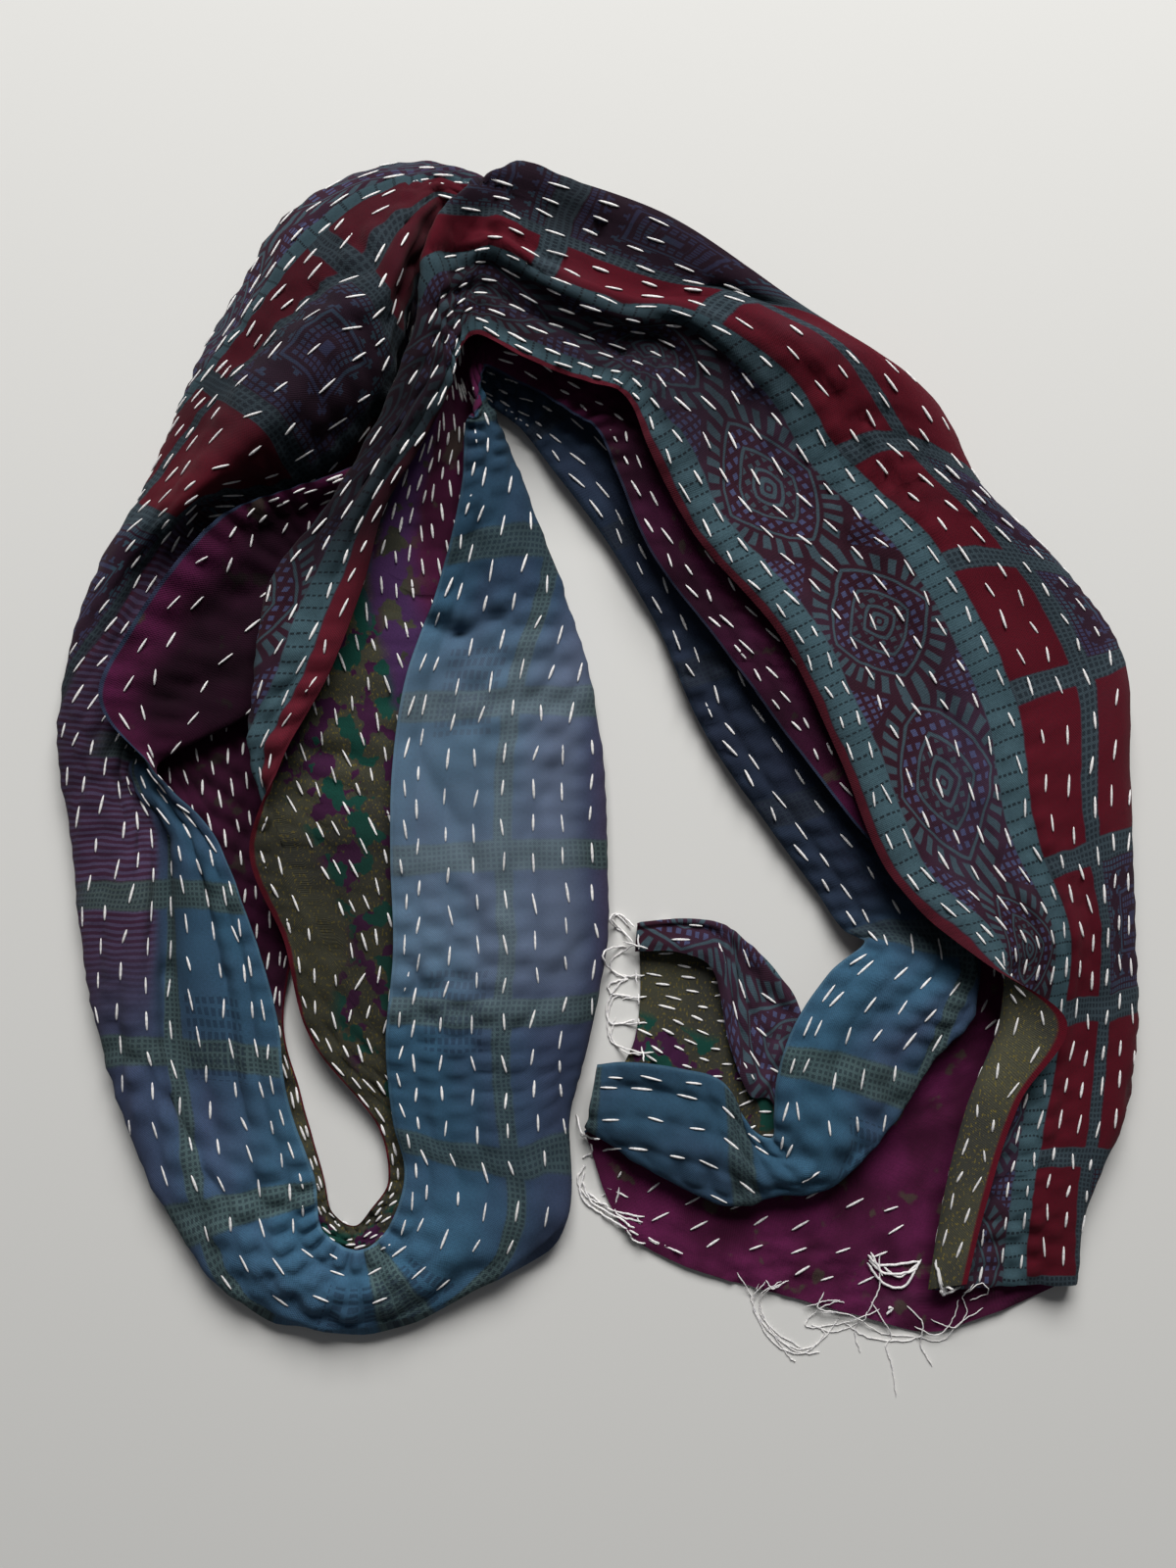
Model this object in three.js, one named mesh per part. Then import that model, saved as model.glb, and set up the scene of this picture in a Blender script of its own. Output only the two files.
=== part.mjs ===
// A kantha scarf lying in a loose knot-like heap: two thin layers of old sari cloth, quilted together,
// with a short thread fringe at each end.  Millimetres, +Z up, the surface it lies on is z = 0.
import * as THREE from "three";

const CLOTH = 1.0;        // thickness of each layer of cloth
const GAP = 0.3;          // between the two layers, and between a fringe and the cloth's end
const ROUND = 1.8;        // half the height of a rounded fold
const FOLD_REACH = 4;     // how far from an open fold its two rounding lines stand
const PRESSED = 0.5;      // least share of the thickness, where gathers squeeze the cloth
const THREAD = 1.0;       // thickness of a fringe

// The scarf is a strand of 66 sections, from end two to end one.  A section runs across the cloth from
// edge 1 to edge 2, and names the x, y and height of the lines that it states, measured at the middle of
// the two layers; lines that it leaves out lie evenly between their neighbours.  fold* are the two main
// lengthwise folds, lip* and inner the small turned-back strips along the edges.
const LINES = [
  "edge1", "lip1", "fore1", "fore2", "fore3", "foldR", "under1", "under2",
  "foldL", "top1", "top2", "top3", "top4", "inner", "lip2", "edge2",
];
const ROUNDED = ["foldR", "foldL"];
const SECTIONS = [
  { at: "end two", edge1: [144, -190, 12], lip1: [130, -193, 9.5], fore1: [150.5, -193.5, 6],
    fore3: [170.5, -192, 8], foldR: [187, -191.5, 5.5], under1: [164.5, -201.5, 2.4],
    foldL: [132.5, -213, 1.2], top2: [93.5, -202.5, 1.2], inner: [51, -191, 1.2],
    lip2: [15, -173, 1.2], edge2: [-1.5, -134, 1.2] },
  { at: "spread over the plum piece", edge1: [150.5, -160, 15], lip1: [134.5, -162.5, 12],
    fore1: [154.5, -166.5, 8], fore3: [175, -164, 12], foldR: [189.5, -165.5, 7],
    under1: [170.5, -175, 2.5], foldL: [131, -186, 1.4], top2: [101.5, -179, 1.2],
    inner: [72, -170.5, 1.2], lip2: [34, -151.5, 1.2], edge2: [19, -121.5, 1.2] },
  { at: "spread narrowing", edge1: [162.5, -120, 18], lip1: [143, -124, 15], fore1: [162.5, -127, 10],
    fore3: [184, -124.5, 14], foldR: [205, -124, 8], under1: [181.5, -132.5, 2.5],
    foldL: [151.5, -142, 1.6], top2: [132.5, -132.5, 1.2], inner: [110, -121.5, 1.2],
    lip2: [93, -110, 1.2], edge2: [79.5, -102.5, 1.2] },
  { at: "first pleats", edge1: [177, -86, 26], lip1: [156, -87, 17], fore1: [169.5, -91.5, 13],
    fore3: [190.5, -89, 16], foldR: [209, -86, 9], under1: [197, -89.5, 2.6], foldL: [180, -92.5, 1.4],
    edge2: [155.5, -93.5, 1.2] },
  { at: "pleats under the U-turn", edge1: [145, -64.5, 28], lip1: [153.5, -63, 24],
    fore1: [169, -59.5, 21], fore3: [189, -53, 21], foldR: [206.5, -48.5, 12], under1: [196.5, -52, 3],
    foldL: [181.5, -56, 3], top4: [165.5, -59.5, 6], edge2: [157.5, -61, 8] },
  { at: "right band, foot", edge1: [113.5, -35.5, 26], lip1: [122, -32, 25], fore1: [141, -25, 22],
    fore3: [174, -13, 23], foldR: [205.5, -2, 11], under1: [193, -7.5, 2.6], under2: [162.5, -17, 3],
    foldL: [148.5, -20.5, 12], top2: [139, -23, 15], edge2: [116.5, -33.5, 17] },
  { at: "right band, low", edge1: [93, 11.5, 25], lip1: [101.5, 15.5, 25], fore1: [125, 24, 21],
    fore3: [161, 36.5, 23], foldR: [202.5, 49.5, 10], under1: [187.5, 45.5, 2.6],
    under2: [132.5, 26.5, 3], foldL: [121, 23, 12], top2: [111, 20, 15], edge2: [82, 9, 17] },
  { at: "right band, middle", edge1: [72, 54.5, 25], lip1: [80, 58.5, 25], fore1: [101, 70, 21],
    fore3: [137, 87.5, 25], foldR: [180.5, 80, 12], under1: [166.5, 75.5, 2.6],
    under2: [115.5, 60.5, 3], foldL: [104.5, 56.5, 12], top2: [92.5, 53.5, 15], edge2: [52.5, 49, 17] },
  { at: "right band, high", edge1: [39.5, 93, 25], lip1: [48, 97.5, 25], fore1: [73.5, 114, 20],
    fore3: [109, 127, 28], foldR: [149, 111.5, 13], under1: [136, 109.5, 2.6], under2: [88.5, 100, 4],
    foldL: [77.5, 95, 13], top2: [65, 92, 15], edge2: [23, 88.5, 17] },
  { at: "right band, top", edge1: [22.5, 124.5, 27], lip1: [30.5, 129.5, 27], fore1: [53, 147, 21],
    fore3: [82.5, 162, 33], foldR: [124, 148, 17], under1: [109, 147, 6], under2: [71, 138, 11],
    foldL: [61.5, 133.5, 14], top2: [52, 128, 15], edge2: [10.5, 118, 18] },
  { at: "gathering", edge1: [15, 143, 28], fore1: [33, 165, 22], fore2: [41.5, 172.5, 28],
    fore3: [49, 180.5, 25], foldR: [84.5, 174.5, 20], under1: [71, 167.5, 12],
    foldL: [44.5, 152.5, 13], top2: [33.5, 145, 14], edge2: [3.5, 133, 17] },
  { at: "gathering more", edge1: [0, 149, 29], fore1: [5.5, 166, 25], fore2: [11, 173.5, 33],
    fore3: [14.5, 181, 29], foldR: [36.5, 208, 22], under1: [29.5, 200.5, 14], foldL: [15, 171, 14],
    top2: [9.5, 161.5, 14], edge2: [-7.5, 140.5, 17] },
  { at: "gathered", edge1: [-23.5, 157.5, 30], fore1: [-20, 176.5, 27], fore2: [-16, 185.5, 35],
    fore3: [-13.5, 194, 31], foldR: [-3.5, 222.5, 26], under1: [-7.5, 215, 15],
    foldL: [-15, 185.5, 14], top2: [-18, 176.5, 14], edge2: [-25, 151, 16] },
  { at: "gathered, before the turn", edge1: [-42, 166.5, 30], fore1: [-40, 187, 28],
    fore2: [-36, 200, 35], fore3: [-35, 207, 32], foldR: [-30.5, 226.5, 30], under1: [-32, 223, 19],
    foldL: [-35.5, 198.5, 14], top2: [-36.5, 187.5, 14.5], edge2: [-39, 157, 17] },
  { at: "turn, start", edge1: [-46.5, 162.5, 28], fore1: [-47, 178, 28], fore2: [-47.5, 190, 30],
    fore3: [-48.5, 198.5, 31], foldR: [-50, 212.5, 35], under1: [-48.5, 205.5, 21],
    foldL: [-44, 184, 14], top2: [-42.5, 173.5, 15], edge2: [-40, 154, 18] },
  { at: "turn, middle", edge1: [-49, 153.5, 30], fore1: [-50.5, 164, 32], fore2: [-51.5, 172, 35],
    fore3: [-53, 180.5, 37], foldR: [-59, 196.5, 35], under1: [-55, 187, 22], under2: [-50, 174.5, 14],
    foldL: [-46, 166.5, 13], top2: [-44.5, 160.5, 14.5], edge2: [-41, 148, 18.5] },
  { at: "turn, end", edge1: [-51.5, 143.5, 31], fore1: [-53, 151, 33], fore3: [-57.5, 160.5, 35],
    foldR: [-63.5, 167.5, 32], under1: [-58.5, 161, 21], under2: [-47, 153.5, 10],
    foldL: [-40, 149, 12.5], top2: [-40.5, 146, 15], top4: [-41.5, 141.5, 18.5],
    edge2: [-42.5, 138, 20.5] },
  { at: "loop begins", edge1: [-58, 130, 31], fore1: [-60.5, 135, 33], fore3: [-64.5, 141, 34],
    foldR: [-71.5, 146, 30], under1: [-62.5, 139.5, 21], under2: [-41.5, 140.5, 4.6],
    foldL: [-35.5, 139, 8], top1: [-37, 137.5, 14], top4: [-42, 136.5, 18], edge2: [-46, 136.5, 18] },
  { at: "loop, inner side, top", edge1: [-73, 105.5, 31], fore1: [-78, 106.5, 32],
    fore3: [-84, 107, 33], foldR: [-91.5, 109.5, 28], under1: [-74, 110.5, 18], under2: [-38, 121, 4],
    foldL: [-28, 122, 6], top1: [-31.5, 120.5, 12], top4: [-41.5, 117, 17], edge2: [-47.5, 114.5, 17] },
  { at: "inner side 1", edge1: [-83.5, 72.5, 29], fore1: [-92, 72.5, 30], fore3: [-105, 72.5, 30],
    foldR: [-118.5, 73, 24], under1: [-92.5, 74, 17], under2: [-30.5, 76.5, 3],
    foldL: [-11.5, 77.5, 6], top1: [-18, 77.5, 12], top2: [-29.5, 77, 15], top4: [-44, 76, 14],
    edge2: [-57, 74, 16] },
  { at: "inner side 2", edge1: [-96.5, 40, 27], fore1: [-103.5, 40, 28], fore3: [-113, 40, 28],
    foldR: [-124, 40.5, 22], under1: [-103.5, 40.5, 16], under2: [-22.5, 42.5, 3],
    foldL: [-0.5, 43.5, 6], top1: [-7, 43, 12], top2: [-20.5, 43, 15], top4: [-48.5, 41, 13],
    edge2: [-69, 40, 16] },
  { at: "inner side 3, lip narrow", edge1: [-113, 11, 26], fore1: [-115, 11, 25.5],
    fore3: [-122.5, 10.5, 22], foldR: [-126.5, 10, 18], under1: [-104.5, 9, 12], under2: [-22.5, 9, 3],
    foldL: [5, 9.5, 6], top1: [-2, 9.5, 12], top2: [-18.5, 10.5, 15], top4: [-50.5, 9, 12],
    edge2: [-74, 7.5, 15] },
  { at: "inner side 4, lip laid back", edge1: [-127.5, -24.5, 19], foldR: [-114.5, -25.5, 12.5],
    under1: [-93.5, -26, 10], under2: [-22.5, -25, 3], foldL: [6.5, -23.5, 6], top1: [-1, -23, 12],
    top2: [-18.5, -23, 15], top4: [-50.5, -24.5, 11], edge2: [-75, -26, 14] },
  { at: "inner side 5", edge1: [-115.5, -59.5, 13], foldR: [-99, -61.5, 9.5],
    under1: [-80.5, -62.5, 8], under2: [-22.5, -63, 3], foldL: [6.5, -60, 6], top1: [-1, -60.5, 12],
    top2: [-19.5, -61, 15], top4: [-50.5, -62, 11], edge2: [-74, -62, 13] },
  { at: "inner side 6", edge1: [-106, -97.5, 8], under1: [-68, -101, 5], under2: [-30.5, -100.5, 3],
    foldL: [0, -98, 6], top1: [-6.5, -98.5, 12], top2: [-24, -101, 14], top4: [-56, -101, 11],
    edge2: [-77, -99, 12] },
  { at: "inner side, foot", edge1: [-80.5, -132, 5], under2: [-30.5, -134, 3], foldL: [-7.5, -128, 6],
    top1: [-13.5, -129, 12], top2: [-28, -133.5, 15], top4: [-56, -132.5, 12],
    edge2: [-74.5, -127.5, 11] },
  { at: "bottom 1", edge1: [-77, -153, 3], under2: [-32, -164.5, 2.4], foldL: [-10, -169.5, 6],
    top1: [-17, -166, 12], top2: [-31.5, -162.5, 15], top4: [-56, -155, 12], edge2: [-70, -150.5, 11] },
  { at: "bottom 2", edge1: [-83.5, -163.5, 2.5], under2: [-55, -183.5, 2.2], foldL: [-40.5, -192.5, 6],
    top1: [-45, -187, 12], top2: [-55.5, -180, 15], top4: [-69, -172, 12], edge2: [-76, -168.5, 11] },
  { at: "bottom 3, lowest", edge1: [-90.5, -170.5, 2.5], under2: [-90.5, -197, 2.2],
    foldL: [-90.5, -210, 6], top1: [-89.5, -202.5, 12], top2: [-88.5, -193.5, 15],
    top4: [-88.5, -185, 12], edge2: [-88, -177.5, 11] },
  { at: "bottom 4", edge1: [-98.5, -165, 2.5], under2: [-123, -188, 2.2], foldL: [-134.5, -197.5, 6],
    top1: [-128, -191, 12], top2: [-120.5, -184, 15], top4: [-110, -177, 12], edge2: [-101, -170, 11] },
  { at: "bottom 5", edge1: [-102, -151.5, 2.5], under2: [-144, -159, 2.2], foldL: [-162, -161.5, 6],
    top1: [-153, -158.5, 12], top2: [-141, -155.5, 15], top4: [-121, -153.5, 12],
    edge2: [-104, -150.5, 11] },
  { at: "outer side 1", edge1: [-110.5, -121, 2.2], under2: [-165, -117.5, 2],
    foldL: [-181, -116.5, 6], top1: [-172.5, -115.5, 12], top2: [-161.5, -115, 14],
    top3: [-151.5, -116.5, 10], top4: [-132, -117.5, 14], edge2: [-114, -120, 13] },
  { at: "outer side 2", edge1: [-117.5, -93, 2.2], under2: [-174, -84, 2], foldL: [-190, -83, 6],
    top1: [-182, -82, 12], top2: [-167, -82.5, 14], top3: [-160, -83, 10], top4: [-139, -83.5, 15],
    edge2: [-118.5, -86, 14] },
  { at: "outer side 3", edge1: [-113.5, -58.5, 2.2], under2: [-178, -48.5, 2], foldL: [-195, -48, 6],
    top1: [-186.5, -47.5, 12], top2: [-171, -47.5, 14], top3: [-164.5, -47, 10],
    top4: [-146.5, -46.5, 15], edge2: [-129.5, -49, 15] },
  { at: "outer side 4", edge1: [-113.5, -28.5, 2.2], under2: [-181, -19, 2], foldL: [-197.5, -19, 6],
    top1: [-189.5, -18.5, 12], top2: [-174.5, -18.5, 14], top3: [-168, -18, 10],
    top4: [-156, -18.5, 14], edge2: [-142, -19, 17] },
  { at: "lip stands up", edge1: [-114.5, -2, 2.2], under2: [-185.5, 7.5, 2], foldL: [-202, 9.5, 7],
    top1: [-193, 9, 13], top2: [-184, 8, 13], top3: [-178, 7.5, 12], top4: [-172.5, 6.5, 11.5],
    inner: [-165, 6.5, 11], lip2: [-164.5, 6, 15.5], edge2: [-163.5, 5.5, 20] },
  { at: "lip turned in 1", edge1: [-115, 23.5, 2.2], under2: [-185.5, 35, 2], foldL: [-200.5, 36, 7],
    top1: [-192.5, 35, 13], top2: [-182.5, 34.5, 12], top4: [-153.5, 31.5, 9], inner: [-129, 27, 11],
    lip2: [-155.5, 29.5, 15], edge2: [-182.5, 32, 24] },
  { at: "lip turned in 2", edge1: [-111.5, 49, 2.2], under2: [-178, 60.5, 2], foldL: [-193.5, 65.5, 7],
    top1: [-185, 63, 14], top2: [-177, 59.5, 12], top4: [-150, 52.5, 9], inner: [-115.5, 44, 12],
    lip2: [-143, 51, 15], edge2: [-171, 57.5, 25] },
  { at: "lip turned in 3", edge1: [-106, 57, 2.2], under2: [-166.5, 81.5, 2], foldL: [-183, 89.5, 8],
    top1: [-173, 87.5, 20], top2: [-167.5, 85, 13], top4: [-140.5, 75, 8], inner: [-106, 59.5, 12],
    lip2: [-130, 70.5, 15], edge2: [-153.5, 82, 27] },
  { at: "big roll 1", edge1: [-96.5, 68, 2.2], under2: [-151.5, 98.5, 2], foldL: [-168.5, 112.5, 9],
    top1: [-158.5, 107.5, 23], top2: [-149, 102.5, 32], top3: [-147.5, 99, 18],
    top4: [-127.5, 88, 7.5], inner: [-94, 74.5, 12], lip2: [-115, 85.5, 15], edge2: [-137, 99, 28] },
  { at: "big roll 2", edge1: [-85, 81.5, 2.2], under2: [-136.5, 123, 2], foldL: [-157, 138.5, 10],
    top1: [-142, 130.5, 26], top2: [-128.5, 120, 38], top3: [-124, 113, 22],
    top4: [-112.5, 104.5, 7.5], inner: [-84, 89.5, 12], lip2: [-98.5, 100, 15],
    edge2: [-116, 108, 28] },
  { at: "big roll 3", edge1: [-77.5, 102, 2.2], under2: [-125, 144, 2], foldL: [-146.5, 162.5, 10],
    top1: [-129, 152, 27], top2: [-110, 138, 40], top3: [-101.5, 122, 24], top4: [-95.5, 116.5, 8],
    inner: [-74.5, 104.5, 12], lip2: [-84.5, 111, 15], edge2: [-95.5, 115, 26] },
  { at: "big roll 4", edge1: [-70, 125, 2.2], under2: [-106, 163, 2], foldL: [-132.5, 187, 10],
    top1: [-112.5, 173.5, 28], top2: [-92, 159.5, 42], top3: [-81.5, 136, 28], top4: [-79, 129.5, 8],
    inner: [-68, 123.5, 10], lip2: [-73, 124.5, 12], edge2: [-80, 125, 16] },
  { at: "crest, lip turned out", edge1: [-63.5, 147.5, 2.2], under2: [-87, 193, 2],
    foldL: [-110.5, 218.5, 10], top1: [-92.5, 200.5, 29], top2: [-75, 180.5, 42],
    top3: [-69.5, 166.5, 35], top4: [-70.5, 160.5, 8], inner: [-64.5, 150.5, 7],
    edge2: [-60.5, 144.5, 12] },
  { at: "crest end", edge1: [-57, 159, 1.8], under2: [-72, 204.5, 1.8], foldL: [-84.5, 232.5, 11],
    top1: [-73.5, 216, 27], top2: [-66.5, 200, 37], top3: [-64.5, 192, 24], top4: [-63, 182, 7],
    inner: [-58.5, 165.5, 6.5], edge2: [-56.5, 155.5, 8] },
  { at: "dives under the turn", edge1: [-50, 155.5, 1.6], under2: [-56, 212.5, 1.6],
    foldL: [-60, 236.5, 8], top1: [-58, 230.5, 13], top2: [-56.5, 224.5, 14], top3: [-54.5, 217, 8],
    top4: [-52.5, 199.5, 6], inner: [-50.5, 165.5, 5.8], edge2: [-49.5, 152.5, 5.8] },
  { at: "under the turn", edge1: [-41, 150, 1.4], under2: [-38, 212.5, 1.4], foldL: [-38, 232, 4],
    top1: [-37.5, 227, 7], top2: [-37.5, 214.5, 6.4], top4: [-39.5, 173, 5.8],
    edge2: [-41.5, 147.5, 5.8] },
  { at: "tail 1", edge1: [-26.5, 142.5, 1.3], under2: [-7.5, 186, 1.4], foldL: [0, 203, 4],
    top1: [-1.5, 198.5, 6.5], top2: [-7.5, 184.5, 6.4], top4: [-22, 152.5, 6],
    edge2: [-28, 138.5, 5.8] },
  { at: "tail 2", edge1: [-9.5, 126, 1.3], under2: [28.5, 142, 1.3], foldL: [42.5, 150.5, 3.6],
    top1: [39, 147.5, 6.2], top2: [28, 141, 6.6], top4: [0, 128.5, 8], edge2: [-14.5, 122, 6] },
  { at: "tail 3", edge1: [8.5, 99.5, 1.3], under2: [47.5, 114, 1.3], foldL: [62.5, 120, 3.6],
    top1: [58.5, 118, 6.2], top2: [47, 113, 6.6], top4: [20.5, 103, 8.5], edge2: [4.5, 97, 6] },
  { at: "tail 4", edge1: [32, 61.5, 1.3], under2: [72, 73, 1.3], foldL: [87, 78.5, 3.6],
    top1: [83, 76.5, 6.2], top2: [71.5, 72, 7], top4: [43, 63.5, 9], edge2: [27, 59.5, 6] },
  { at: "tail 5", edge1: [49.5, 23.5, 1.3], under2: [91, 36, 1.3], foldL: [106, 41, 3.6],
    top1: [102, 39.5, 6.2], top2: [90, 35.5, 7], top4: [60, 27, 9], edge2: [43.5, 22, 6] },
  { at: "tail 6", edge1: [76.5, -16, 1.3], under2: [114, -4, 1.3], foldL: [127.5, 2.5, 3.6],
    top1: [124, 1, 6.2], top2: [112.5, -4, 7], top4: [86, -13.5, 9], edge2: [70.5, -18, 6] },
  { at: "tail 7", edge1: [94, -39, 1.3], under2: [127, -29, 1.6], foldL: [139.5, -24, 4],
    top1: [136, -25, 6.6], top2: [125.5, -28.5, 7.6], top4: [101, -36.5, 9], edge2: [88, -42, 6.5] },
  { at: "tail 8, under the right band", edge1: [104.5, -54, 2.4], under2: [132.5, -50, 3],
    foldL: [145.5, -47, 5.4], top1: [141.5, -47.5, 8.2], top2: [131, -49.5, 9.2],
    top4: [110, -51.5, 10.5], edge2: [98, -56, 8.5] },
  { at: "U-turn 1", edge1: [111, -59.5, 6], under2: [136.5, -65.5, 5.6], foldL: [148, -69, 8],
    top1: [144, -68.5, 11], top2: [133, -66, 13], top4: [115, -61, 15], edge2: [105, -59.5, 13] },
  { at: "U-turn 2", edge1: [99.5, -75, 8.5], under2: [133.5, -83.5, 7.5], foldL: [146.5, -87.5, 9.6],
    top1: [143, -86.5, 13], top2: [130, -82, 17], top4: [105, -73.5, 19], edge2: [92, -70.5, 15] },
  { at: "blue piece 1", edge1: [84.5, -94.5, 9], under2: [118.5, -100, 7.5], foldL: [132, -104, 9.6],
    top1: [128, -102.5, 13], top2: [115.5, -98, 17], top4: [90, -92, 19], edge2: [78, -91, 15] },
  { at: "flap starts", edge1: [82, -99, 12.5], foldR: [83, -101.5, 7], under1: [92.5, -115, 6.8],
    under2: [105, -122, 7.5], foldL: [118, -126, 9.6], top1: [114.5, -124.5, 13],
    top2: [103.5, -120, 17], top4: [82, -113.5, 18], edge2: [71.5, -112, 14] },
  { at: "flap 1", edge1: [74.5, -127.5, 11], foldR: [81.5, -103, 6], under1: [86, -124.5, 5.2],
    under2: [94, -138.5, 6.5], foldL: [105, -142, 9.6], top1: [101.5, -140.5, 13],
    top2: [93, -136.5, 17], top4: [77.5, -130, 17], edge2: [70, -128.5, 13] },
  { at: "flap 2", edge1: [69.5, -120.5, 9], foldR: [81.5, -88.5, 4.4], under1: [81, -117, 4.6],
    under2: [89, -143, 5.2], foldL: [92.5, -154, 8], top1: [89.5, -151.5, 12], top2: [83.5, -147, 15],
    top4: [74.5, -140, 13], edge2: [69.5, -135, 12] },
  { at: "flap 3", edge1: [62, -119, 9.5], foldR: [72.5, -73, 4.2], under1: [70, -109.5, 4.8],
    under2: [71.5, -146.5, 5], foldL: [73, -157, 7.8], top1: [72, -153.5, 11], top2: [70, -149, 13],
    top4: [65.5, -139, 11], edge2: [62, -131, 10] },
  { at: "flap 4", edge1: [54.5, -101, 9], foldR: [62, -62.5, 4], under1: [57.5, -102, 4.4],
    under2: [57.5, -148, 5], foldL: [57, -161, 7.2], top1: [56, -156, 11], top2: [55, -149, 13],
    top4: [53.5, -127, 11], edge2: [52.5, -114.5, 10] },
  { at: "flap narrowing", edge1: [48.5, -71.5, 8], foldR: [51, -54.5, 4.2], under1: [46, -98, 3.6],
    under2: [38.5, -141.5, 5], foldL: [37.5, -154.5, 7.2], top1: [37, -150.5, 11],
    top2: [36.5, -142, 13], top4: [36, -119.5, 11], edge2: [35, -108.5, 10] },
  { at: "end piece", edge1: [34.5, -64.5, 7.4], foldR: [36.5, -52.5, 4], under1: [33.5, -98.5, 3.4],
    under2: [20.5, -132, 5], foldL: [19.5, -144.5, 7.2], top1: [18.5, -140.5, 11],
    top2: [18, -133, 13], top4: [17, -115, 11], edge2: [15.5, -106, 10] },
  { at: "end one", edge1: [18, -64, 7], foldR: [19, -54, 4], under1: [18, -98.5, 3.2],
    under2: [5.5, -121.5, 5], foldL: [-1, -131, 7], top1: [0, -127.5, 11], top2: [0.5, -123, 12],
    top4: [2.5, -113, 11], edge2: [3.5, -107, 10] },
];

// Loose threads of each fringe: where each leaves the end (0 to 1 along it), how far it reaches, and how far
// it leans along the end.
const FRINGE_ONE = {
  lines: ["foldR", "under1"], side: 1, bottom: 2.9, band: 2,
  threads: [
    { at: 0.05, long: 7, lean: 2 }, { at: 0.24, long: 8, lean: -1 }, { at: 0.43, long: 7, lean: 1 },
    { at: 0.62, long: 9, lean: -2 }, { at: 0.80, long: 10, lean: 1 }, { at: 0.97, long: 11, lean: -2 },
  ],
};
const FRINGE_TWO = {
  lines: ["foldL", "top2", "inner", "lip2", "edge2"], side: -1, bottom: 0.2, band: 3,
  threads: [
    { at: 0.03, long: 30, lean: 6 }, { at: 0.13, long: 26, lean: -5 }, { at: 0.24, long: 38, lean: 8 },
    { at: 0.36, long: 30, lean: -6 }, { at: 0.48, long: 22, lean: 7 }, { at: 0.58, long: 14, lean: -4 },
    { at: 0.68, long: 10, lean: 3 }, { at: 0.80, long: 12, lean: -3 }, { at: 0.91, long: 9, lean: 2 },
  ],
};

const vec = (p) => new THREE.Vector3(...p);

// Every line of one section: the stated ones, and the others spaced evenly between them.
function sectionPoints(section) {
  const points = LINES.map((line) => (section[line] ? vec(section[line]) : null));
  let from = 0;
  for (let i = 1; i < points.length; i += 1) {
    if (!points[i]) continue;
    for (let k = from + 1; k < i; k += 1) {
      points[k] = points[from].clone().lerp(points[i], (k - from) / (i - from));
    }
    from = i;
  }
  return points;
}

// A main fold becomes two lines: one above the other where the cloth is doubled back, and a little apart
// where it lies open.
function roundFold(before, fold, after) {
  const reach = [before, after].map((p) => p.clone().sub(fold));
  const flat = reach.map((d) => Math.hypot(d.x, d.y) + 1e-9);
  const turn = (reach[0].x * reach[1].x + reach[0].y * reach[1].y) / (flat[0] * flat[1]);
  const doubled = THREE.MathUtils.clamp((turn + 0.2) / 0.8, 0, 1);
  const rise = before.z > after.z ? ROUND : -ROUND;
  return reach.map((d, i) => {
    const share = (1 - doubled) * Math.min(FOLD_REACH, 0.45 * flat[i]) / flat[i];
    const p = fold.clone().addScaledVector(d, share);
    p.z += doubled * (i === 0 ? rise : -rise);
    return p;
  });
}

const grid = SECTIONS.map((section) => {
  const points = sectionPoints(section);
  return points.flatMap((p, i) => (
    ROUNDED.includes(LINES[i]) ? roundFold(points[i - 1], p, points[i + 1]) : [p]
  ));
});
const ROWS = grid.length;
const COLS = grid[0].length;

// The direction in which each little patch between four neighbouring points faces.
function patchFacing(i, j) {
  const [a, b, c, d] = [grid[i][j], grid[i][j + 1], grid[i + 1][j], grid[i + 1][j + 1]];
  const across = b.clone().sub(a).add(d).sub(c);
  const along = c.clone().sub(a).add(d).sub(b);
  return across.cross(along).normalize();
}
const facing = Array.from({ length: ROWS - 1 }, (_, i) => (
  Array.from({ length: COLS - 1 }, (_, j) => patchFacing(i, j))
));

// At a point, the patches on its left and on its right count alike, so at a sharp fold it faces straight
// out of the fold.
function pointFacing(i, j) {
  const sides = [j - 1, j].filter((c) => c >= 0 && c < COLS - 1).map((c) => {
    const side = new THREE.Vector3();
    [i - 1, i].filter((r) => r >= 0 && r < ROWS - 1).forEach((r) => side.add(facing[r][c]));
    return side.normalize();
  });
  const sum = sides.reduce((total, side) => total.add(side), new THREE.Vector3());
  return sum.length() > 0.02 ? sum.normalize() : sides[0];
}

// Gathers squeeze the layers thinner where their lines run close together.
function pressed(i, j) {
  const p = grid[i][j];
  const room = [
    j > 0 && p.distanceTo(grid[i][j - 1]), j < COLS - 1 && p.distanceTo(grid[i][j + 1]),
    i > 0 && p.distanceTo(grid[i - 1][j]) / 2, i < ROWS - 1 && p.distanceTo(grid[i + 1][j]) / 2,
  ].filter((d) => d !== false);
  return THREE.MathUtils.clamp(Math.min(...room) / (2 * CLOTH + GAP), PRESSED, 1);
}

const normals = grid.map((row, i) => row.map((_, j) => pointFacing(i, j)));
const squeeze = grid.map((row, i) => row.map((_, j) => pressed(i, j)));

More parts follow.
